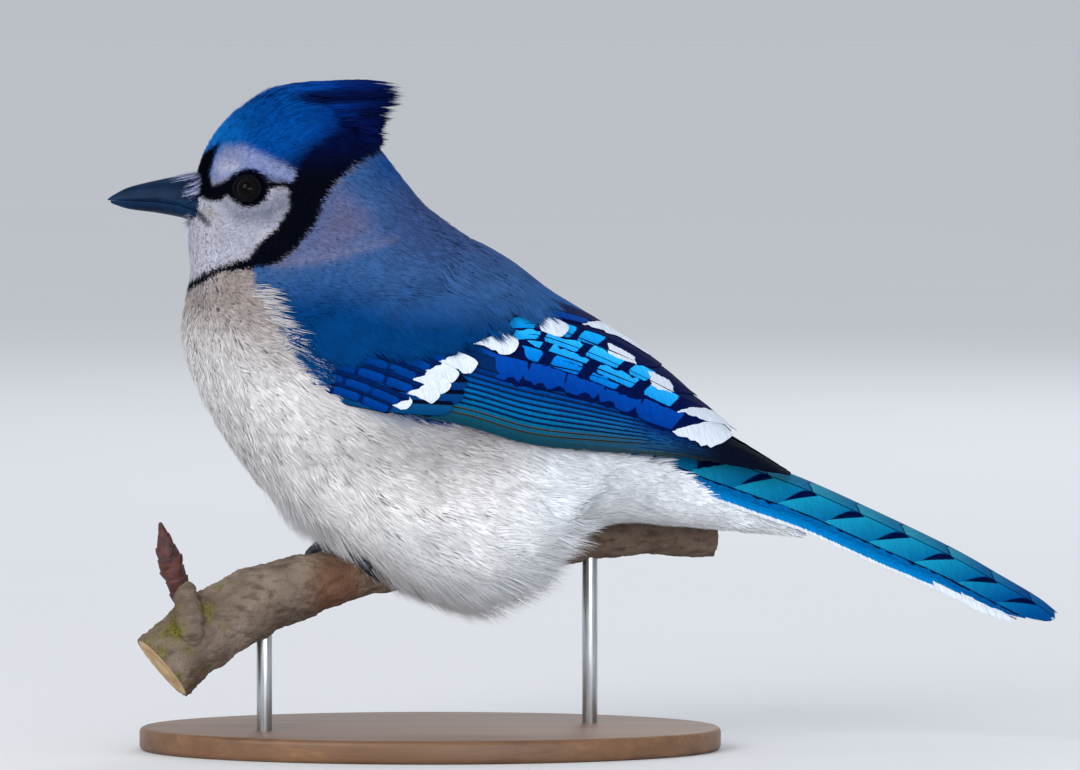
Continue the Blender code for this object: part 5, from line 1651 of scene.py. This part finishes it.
# %% Bristles
# turn round the bill from its side upward, root and tip along X, droop, how many, colours
BRISTLES = (
    (55, 90, -59.0, -67.5, -2.2, 150, "#7a84ae", "#b4b9cf"),
    (15, 60, -59.0, -64.5, -2.4, 130, "#69739c", "#a9afc8"),
    (5, 80, -59.0, -65.5, -2.2, 120, "#05091a", "#2b3158"),
    (-80, -20, -59.5, -64.0, -2.6, 70, "#5a5e70", "#a2a3b4"),
    (-60, 0, -58.5, -63.0, -2.4, 60, "#14182c", "#3c4254"),
)
BRISTLE_GIRTH = 0.09
roots, ways, ups, colours = [], [], [], []
for low, high, start, end, droop, count, dark, light in BRISTLES:
    for side in (-1, 1):
        turn = np.radians(rng.uniform(low, high, count))
        away = np.column_stack([0 * turn, side * np.cos(turn), np.sin(turn)])
        middle = np.array((start, 0, 144.2))
        size = np.where(turn > 0, 6.6, 5.8)[:, None] * (0, 0.84, 1)
        root = middle + away * size + rng.normal(0, 0.35, (count, 3))
        reach_out = (end - start) * rng.uniform(0.55, 1.1, count)
        way = np.column_stack([reach_out, -0.12 * np.abs(reach_out) * away[:, 1],
                               droop * rng.uniform(0.5, 1.2, count)])
        roots.append(root)
        ways.append(way)
        ups.append(away)
        colours.append(mixed(tone(dark), tone(light), rng.random((count, 1))))
root, way, up, shade = (np.vstack(rows) for rows in (roots, ways, ups, colours))
bristles = loose_barbs("bristles", root, way, up * 0.5, up, BRISTLE_GIRTH, shade)
lodge(bristles)

# %% [markdown]
# ## Eyes
# A jay's eye is dark brown with a black pupil, under a clear cornea that gives the sharp
# highlight. The ball is one round, wet piece that bulges at the cornea, and its mesh keeps each
# point's distance from the middle of the pupil. A ring of bare black lid closes on it.

# %% Eyeballs and lids
eye_finish, tree, shader = finish_of("wet eye", Roughness=0.05, IOR=1.376, Specular_IOR_Level=0.1)
radius = kept_in_mesh(tree, "Gaze", "Fac")
iris = blended(tree, noise_shade(tree, 1800, detail=2), "#050203", "#0d0605")
colour = blended(tree, ranged(tree, radius, 1.55, 1.75), "#010102", iris)
coloured(tree, shader, blended(tree, ranged(tree, radius, 2.5, 3.0), colour, "#050506"))
lid_finish = mottled("bare lid skin", 1500, "#04050a", "#0a0d16", (2200, 0.1, 0.6),
                     Roughness=0.6, Specular_IOR_Level=0.03)

EYE_CENTRE = (-46.45, 11.62, 146.58)
EYE_LOOK = (-0.252, 0.962, 0.106)
EYE_RADIUS = 4.6
CORNEA_BULGE = 0.45
LID_AHEAD = 3.135  # how far in front of the eye's centre the lid's ring lies
LID_RADIUS = 3.45
LID_GIRTH = 0.62
for side, side_name in SIDES:
    flip = np.array((1, side, 1))
    centre, look = np.array(EYE_CENTRE) * flip, unit(np.array(EYE_LOOK)) * flip
    bm = bmesh.new()
    bmesh.ops.create_uvsphere(bm, u_segments=64, v_segments=48, radius=EYE_RADIUS)
    turn = Vector((0, 0, 1)).rotation_difference(Vector(look)).to_matrix()
    bmesh.ops.transform(bm, matrix=turn.to_4x4(), verts=bm.verts)
    gaze = []
    for vert in bm.verts:
        ahead = vert.co.normalized().dot(Vector(look))
        gaze.append(9.0 if ahead < 0 else EYE_RADIUS * math.sqrt(max(0, 1 - ahead * ahead)))
        vert.co += Vector(look) * CORNEA_BULGE * max(0, (ahead - 0.72) / 0.28) ** 1.5
    bmesh.ops.translate(bm, vec=Vector(centre), verts=bm.verts)
    eye = piece_of("eyeball_" + side_name, bm, eye_finish)
    store(eye, "Gaze", "FLOAT", "value", gaze)
    lodge(eye, ("eye_" + side_name,))
    side_way = unit(np.cross(look, (0, 0, 1)))
    up_way = np.cross(side_way, look)
    rings = []
    for turn in np.linspace(0, 2 * math.pi, 73):
        spoke = side_way * math.cos(turn) + up_way * math.sin(turn) * 0.9
        middle = centre + look * LID_AHEAD + spoke * LID_RADIUS
        roll = np.linspace(0, 2 * math.pi, 14, endpoint=False)[:, None]
        bead = LID_GIRTH * (1 + 0.1 * math.sin(turn * 23) + 0.06 * math.sin(turn * 9))
        rings.append(middle + (spoke * np.cos(roll) + look * np.sin(roll)) * bead)
    lid = lofted("lid_" + side_name, rings, lid_finish, fill=False)
    lodge(lid)
print("eyes at", EYE_CENTRE)

# %% [markdown]
# ## Branch
# A cut length of living branch: ridged and cracked bark, a little moss, a rust-coloured scar and
# one bud. The form comes from noise on a fine loft, and the material adds what is too small to
# model.

# %% The branch's line
# x, z and radius along it
BRANCH = ((-69.2, 23.0, 9.7), (-60.0, 30.8, 9.7), (-47.0, 38.6, 9.4), (-33.9, 43.1, 8.4),
          (-20.9, 46.2, 6.8), (-7.8, 48.3, 6.3), (18.3, 50.9, 5.7), (44.4, 54.6, 5.5),
          (57.4, 55.0, 5.0), (74.4, 53.0, 4.4))
BRANCH_SWING = 0.30  # how far it swings toward the bird's right, for each millimetre back
RUST_SCAR = (-0.0245, -0.013, 0.043)  # in metres, as the shader reads places
BRANCH_RINGS = 340
BRANCH_SIDES = 80


def swung(rows):
    """Points along the branch's slant, from rows of x and z."""
    return np.column_stack([rows[:, 0], rows[:, 0] * BRANCH_SWING, rows[:, 1]])


branch_rows = resampled(BRANCH, BRANCH_RINGS)
branch_path = swung(branch_rows)
section = np.linspace(0, 3 * (len(BRANCH) - 1), BRANCH_RINGS)
swell = 1 + 0.025 * np.sin(2.3 * section) + 0.015 * np.sin(4.1 * section + 1.0)
branch_girth = branch_rows[:, 2] * swell


def branch_at(x):
    """The axis point, heading, upward and sideways directions and radius at a place along X."""
    i = int(np.argmin(np.abs(branch_path[:, 0] - x)))
    i = min(max(i, 1), BRANCH_RINGS - 2)
    ahead = unit(branch_path[i + 1] - branch_path[i - 1])
    up = unit(np.array((0, 0, 1.0)) - ahead * ahead[2])
    return branch_path[i], ahead, up, np.cross(ahead, up), branch_girth[i]


rings = tube_rings(branch_path, np.ones(BRANCH_RINGS), BRANCH_SIDES)
spokes = rings - branch_path[:, None]
relief = np.empty((BRANCH_RINGS, BRANCH_SIDES))
for i in range(BRANCH_RINGS):
    for j in range(BRANCH_SIDES):
        place = Vector(branch_path[i] + spokes[i, j] * branch_girth[i])
        broad = noise.noise(place * 0.09) * 0.5
        ridges = abs(noise.noise(Vector((place.x * 0.16, place.y * 0.55, place.z * 0.55))))
        fine = noise.noise(place * 0.9) * 0.16
        relief[i, j] = broad - ridges * 0.9 + fine
rings = branch_path[:, None] + spokes * (branch_girth[:, None] + relief)[..., None]

bark, tree, shader = finish_of("living bark", Roughness=0.85, Specular_IOR_Level=0.25)
where = add(tree, "TexCoord").outputs["Object"]
toward_tail = add(tree, "SeparateXYZ", {"Vector": where}).outputs["X"]
cracks = noise_shade(tree, 520, 0.3, 1.6, detail=6, stretch=(0.45, 1, 1))
pores = noise_shade(tree, 1600)
colour = blended(tree, noise_shade(tree, 90, detail=6), "#5f5044", "#8d7d70")
colour = blended(tree, cracks, "#4a3c33", colour)
darker = ranged(tree, toward_tail, -0.045, -0.015, 0.0, 0.7)
colour = blended(tree, darker, colour, multiplied(tree, colour, "#c4b8ac"))
moss_at = ranged(tree, toward_tail, -0.030, -0.066, -1.4, 0.35)
moss = maths(tree, "ADD", moss_at, noise_shade(tree, 130, -1, 1, detail=5), use_clamp=True)
colour = blended(tree, moss, colour, blended(tree, pores, "#3c3a0a", "#7a7526"))
rust_at = add(tree, "VectorMath", {0: where, 1: RUST_SCAR}, operation="DISTANCE")
rust = ranged(tree, rust_at.outputs["Value"], 0.004, 0.011, 0.6, 0.0)
coloured(tree, shader, blended(tree, rust, colour, "#6b4128"))
bumped(tree, shader, maths(tree, "ADD", cracks, pores), 0.4, 0.7)
lodge(lofted("branch_bark", rings, bark, fill=False), ("perch",))

# %% [markdown]
# The cut ends show pale wood with growth rings. The bud is a loft whose radius steps at the edge
# of each scale, and a ringed foot carries it.

# %% Cut ends and the bud
cut_wood, tree, shader = finish_of("cut sapwood", Roughness=0.8)
radius = kept_in_mesh(tree, "Ring", "Fac")
ring_at = maths(tree, "ADD", radius, noise_shade(tree, 300, -0.15, 0.15))
wave = maths(tree, "SINE", maths(tree, "MULTIPLY", ring_at, 9.0))
colour = blended(tree, ranged(tree, wave, -1, 1), "#a9865a", "#c9ab7c")
coloured(tree, shader, blended(tree, ranged(tree, radius, 0.86, 0.95), colour, "#3d2f26"))
for name, rim in (("cut_end_front", rings[0]), ("cut_end_back", rings[-1])):
    centre = rim.mean(0)
    disc = centre + (rim[None] - centre) * np.linspace(0.001, 1.0, 8)[:, None, None]
    end = lofted(name, disc, cut_wood, fill=False)
    spread_out = np.linalg.norm(np.array([v.co for v in end.data.vertices]) / MM - centre, axis=1)
    store(end, "Ring", "FLOAT", "value", spread_out / spread_out.max())
    lodge(end)

bud_finish = mottled("bud scales", 500, "#260d0e", "#562721", (900, 0.2), Roughness=0.6)
BUD = ((-61.0, 33.0, 2.9), (-64.6, 43.0, 2.7), (-67.4, 51.5, 3.1), (-69.6, 60.6, 0.4))
BUD_SCALES = 9
BUD_RINGS = 90
BUD_SIDES = 24
bud_rows = resampled(BUD, BUD_RINGS)
scale_at = np.linspace(0, BUD_SCALES, BUD_RINGS)[:, None]
around = np.linspace(0, 2 * math.pi, BUD_SIDES, endpoint=False)[None]
scales = 1 + 0.16 * (scale_at % 1 - 0.5) + 0.07 * np.cos((around + scale_at) * 3)
bud_rings = tube_rings(swung(bud_rows), bud_rows[:, 2:] * scales, BUD_SIDES)
lodge(lofted("bud", bud_rings, bud_finish))
# the bud's ringed foot grows out of the near side of the branch: x, y, z, radius
BUD_FOOT = ((-63.2, -19.0, 43.5, 2.5), (-62.7, -22.6, 40.5, 3.3), (-61.8, -25.6, 36.0, 3.8),
            (-61.2, -26.4, 31.5, 3.2), (-61.0, -24.6, 28.0, 0.9))
foot_rows = resampled(BUD_FOOT, 80)
ringed = 1 + 0.08 * np.sin(np.linspace(0, 38, 80)) ** 3
foot_rings = tube_rings(foot_rows[:, :3], foot_rows[:, 3] * ringed, BUD_SIDES)
lodge(lofted("bud_foot", foot_rings, bark))

# %% [markdown]
# ## Feet
# A perching foot has three toes forward and one back, with plates of dark horn and a curved
# claw on each. The shank and toes are lofts along curves round the branch, ringed by scutes.

# %% Shanks, toes and claws
scute = mottled("scaled foot horn", 700, "#0d1119", "#262f3d", (1500, 0.12, 0.7),
                Roughness=0.42, Specular_IOR_Level=0.45)
claw_horn = mottled("claw horn", 500, "#07080b", "#161a20", Roughness=0.28, Specular_IOR_Level=0.5)
TOE_RADIUS = 1.5
# each toe's degrees round the branch and millimetres along it; the last is the hind toe
TOE_ENDS = ((48.0, -6.0), (84.0, -8.5), (100.0, -0.5), (-88.0, 5.5))
FOOT_CLEAR = 0.25


def round_branch(x, turn, along_it, height, near):
    point, _, _, _, radius = branch_at(x + along_it)
    _, _, up, side_way, _ = branch_at(x)
    return point + (up * math.cos(turn) + side_way * math.sin(turn) * near) * (radius + height)


def scutes(share, plates, size):
    """A radius that steps up at the edge of each plate."""
    return 1 + size * (0.5 - (share * plates) % 1)


for name, x, near in (("left", 2.0, 1), ("right", -23.0, -1)):
    point, _, up, _, radius = branch_at(x)
    foot = point + up * (radius + TOE_RADIUS + 0.2)
    share = np.linspace(0, 1, 60)
    path = foot + np.outer(share, (2.0, 0, 16.0))
    girth = (1.75 - 0.25 * np.sin(share * math.pi)) * scutes(share, 8, 0.09)
    shank = lofted("shank_" + name, tube_rings(path, girth, 28), scute)
    lodge(shank, ("leg_" + name,))
    for i, (angle, along_it) in enumerate(TOE_ENDS):
        share = np.linspace(0, 1, 70)
        path, girth = [], []
        for s in share:
            height = TOE_RADIUS * 0.95 + FOOT_CLEAR + 0.35 * math.sin(math.pi * s)
            path.append(round_branch(x, math.radians(angle) * s, along_it * s, height, near))
            pads = 0.12 * abs(math.sin(s * math.pi * 3))
            girth.append(TOE_RADIUS * (mixed(1.02, 0.72, s) + pads))
        girth = np.array(girth) * scutes(share, 11, 0.1)
        girth[-6:] *= np.linspace(1, 0.45, 6)
        toe = lofted(f"toe_{name}_{i}", tube_rings(path, girth, 26), scute)
        lodge(toe)
        heading = unit(path[-1] - path[-6])
        inward = unit(branch_at(x + along_it)[0] - path[-1])
        share = np.linspace(0, 1, 24)[:, None]
        curve = path[-2] + heading * share * 4.6 + inward * share**2 * 1.0
        claw = lofted(f"claw_{name}_{i}", tube_rings(curve, 0.82 * (1 - share) ** 0.8 + 0.03, 18),
                      claw_horn)
        lodge(claw)


# %% [markdown]
# ## Stand
# The branch would roll without a stand, so two steel rods hold it over an oval wooden base.
# The base is a circle, scaled, extruded and bevelled, and its grain runs along it.

# %% Base and rods
stand_wood, tree, shader = finish_of("oiled walnut", Roughness=0.45)
grain = noise_shade(tree, 160, detail=6, stretch=(0.07, 1, 1))
fine_grain = noise_shade(tree, 900, detail=3, stretch=(0.03, 1, 1))
colour = blended(tree, grain, "#4a2f1d", "#85603f")
coloured(tree, shader, blended(tree, fine_grain, colour, "#6b4a30"))
bumped(tree, shader, fine_grain, 0.05, 0.5)
steel = mottled("brushed steel", 1500, "#9a9da1", "#c4c7ca", stretch=(1, 1, 0.05),
                Metallic=1.0, Roughness=0.32, IOR=2.5)


def rounded(bm, offset, segments):
    """Bevels the sharp edges of a bmesh."""
    rims = [edge for edge in bm.edges if edge.calc_face_angle(0) > 0.5]
    bmesh.ops.bevel(bm, geom=rims, offset=offset, segments=segments, profile=0.5,
                    affect="EDGES", material=-1)


BASE_HALF = (76.0, 48.0)
BASE_THICK = 6.0
ROD_RADIUS = 2.0
ROD_SUNK = 3.0  # how far a rod goes into the branch, and how high above the floor it starts
bm = bmesh.new()
bmesh.ops.create_circle(bm, cap_ends=True, segments=128, radius=1.0)
bmesh.ops.scale(bm, vec=(*BASE_HALF, 1.0), verts=bm.verts)
made = bmesh.ops.extrude_face_region(bm, geom=list(bm.faces))
top = [item for item in made["geom"] if isinstance(item, bmesh.types.BMVert)]
bmesh.ops.translate(bm, vec=(0, 0, BASE_THICK), verts=top)
rounded(bm, 1.4, 6)
lodge(piece_of("base_board", bm, stand_wood), ("stand_base",))
for name, x in (("front", -43.0), ("back", 42.0)):
    point, _, _, _, radius = branch_at(x)
    top = point[2] - radius + ROD_SUNK
    bm = bmesh.new()
    bmesh.ops.create_cone(bm, cap_ends=True, segments=48, radius1=ROD_RADIUS, radius2=ROD_RADIUS,
                          depth=top - ROD_SUNK)
    bmesh.ops.translate(bm, vec=(point[0], point[1], (top + ROD_SUNK) / 2), verts=bm.verts)
    rounded(bm, 0.2, 3)
    lodge(piece_of("rod_" + name, bm, steel), ("stand_rod_" + name,))


# %% [markdown]
# ## Floor, light and camera
# The bird is shown as a museum shows it: on a plain pale floor, under big soft lights. A long
# lens from level with the bird gives the same view as the photograph.

# %% The floor
FLOOR_PALE = "#dcdee1"
FLOOR_SHADE = 0.985
floor_finish, tree, shader = finish_of("pale matt floor", Roughness=0.95, Specular_IOR_Level=0.1)
shade = noise_shade(tree, 3.0, FLOOR_SHADE - 0.015, FLOOR_SHADE + 0.015, detail=2.0, around=0.5)
coloured(tree, shader, multiplied(tree, shade, FLOOR_PALE))
bm = bmesh.new()
bmesh.ops.create_grid(bm, x_segments=2, y_segments=2, size=40000.0)
floor = piece_of("floor", bm, floor_finish)

# %% [markdown]
# A key light stands high on the bird's left, the side that the camera sees, and a broad fill low
# on the same side. A weak light stands behind. An even sky fills the shadows, as snow does on a
# bright day.

# %% Lights
def soft_light(name, place, aim, size, power, colour):
    """A square soft box that looks at a point; sizes in metres."""
    data = bpy.data.lights.new(name, "AREA")
    data.shape = "SQUARE"
    data.size = size
    data.energy = power
    data.color = srgb(colour)[:3]
    aimed(placed(name, data), place, aim)
    print(name, "light:", power, "W")


BIRD = (0.01, 0.0, 0.11)
soft_light("key", (-1.3, -1.7, 1.2), BIRD, 1.4, 32.0, "#fffdf8")
soft_light("fill", (0.5, -2.0, -0.1), BIRD, 1.4, 38.0, "#f6f9ff")
soft_light("back", (0.6, 1.8, 1.4), BIRD, 1.2, 10.0, "#f8faff")
SKY_LIGHT = "#eef1f6"
SKY_STRENGTH = 0.82
world = bpy.data.worlds.new("studio")
world.use_nodes = True
tree = world.node_tree
sky = tree.nodes["Background"]
sky.inputs["Color"].default_value = srgb(SKY_LIGHT)
sky.inputs["Strength"].default_value = SKY_STRENGTH
# what the camera sees past the floor's edge is as bright as the floor far off
far_floor = [a * b for a, b in zip(srgb(SKY_LIGHT), srgb(FLOOR_PALE))]
seen = add(tree, "Background", {
    "Color": far_floor, "Strength": SKY_STRENGTH * FLOOR_SHADE})
camera_ray = add(tree, "LightPath").outputs["Is Camera Ray"]
both = add(tree, "MixShader", {0: camera_ray, 1: sky.outputs[0], 2: seen.outputs[0]})
tree.links.new(both.outputs[0], tree.nodes["World Output"].inputs["Surface"])
bpy.context.scene.world = world
bpy.context.scene.view_settings.view_transform = "Standard"

# %% [markdown]
# The camera stands far off, so that nothing is drawn larger for being nearer.

# %% The camera
PICTURE_WIDTH = 281.9  # millimetres across the picture at the bird
PICTURE_MIDDLE = (28.7, 95.3)
CAMERA_AWAY = 2300.0
SENSOR = 36.0
rise = math.radians(2.5)  # how far the camera looks down
aim = Vector((PICTURE_MIDDLE[0], 0, PICTURE_MIDDLE[1])) * MM
camera_data = bpy.data.cameras.new("camera")
camera_data.sensor_width = SENSOR
camera_data.lens = SENSOR * CAMERA_AWAY / PICTURE_WIDTH
camera_data.clip_end = 100.0
camera = placed("camera", camera_data)
aimed(camera, aim + Vector((0, -math.cos(rise), math.sin(rise))) * CAMERA_AWAY * MM, aim)
bpy.context.scene.camera = camera
print("lens:", round(camera_data.lens), "mm")
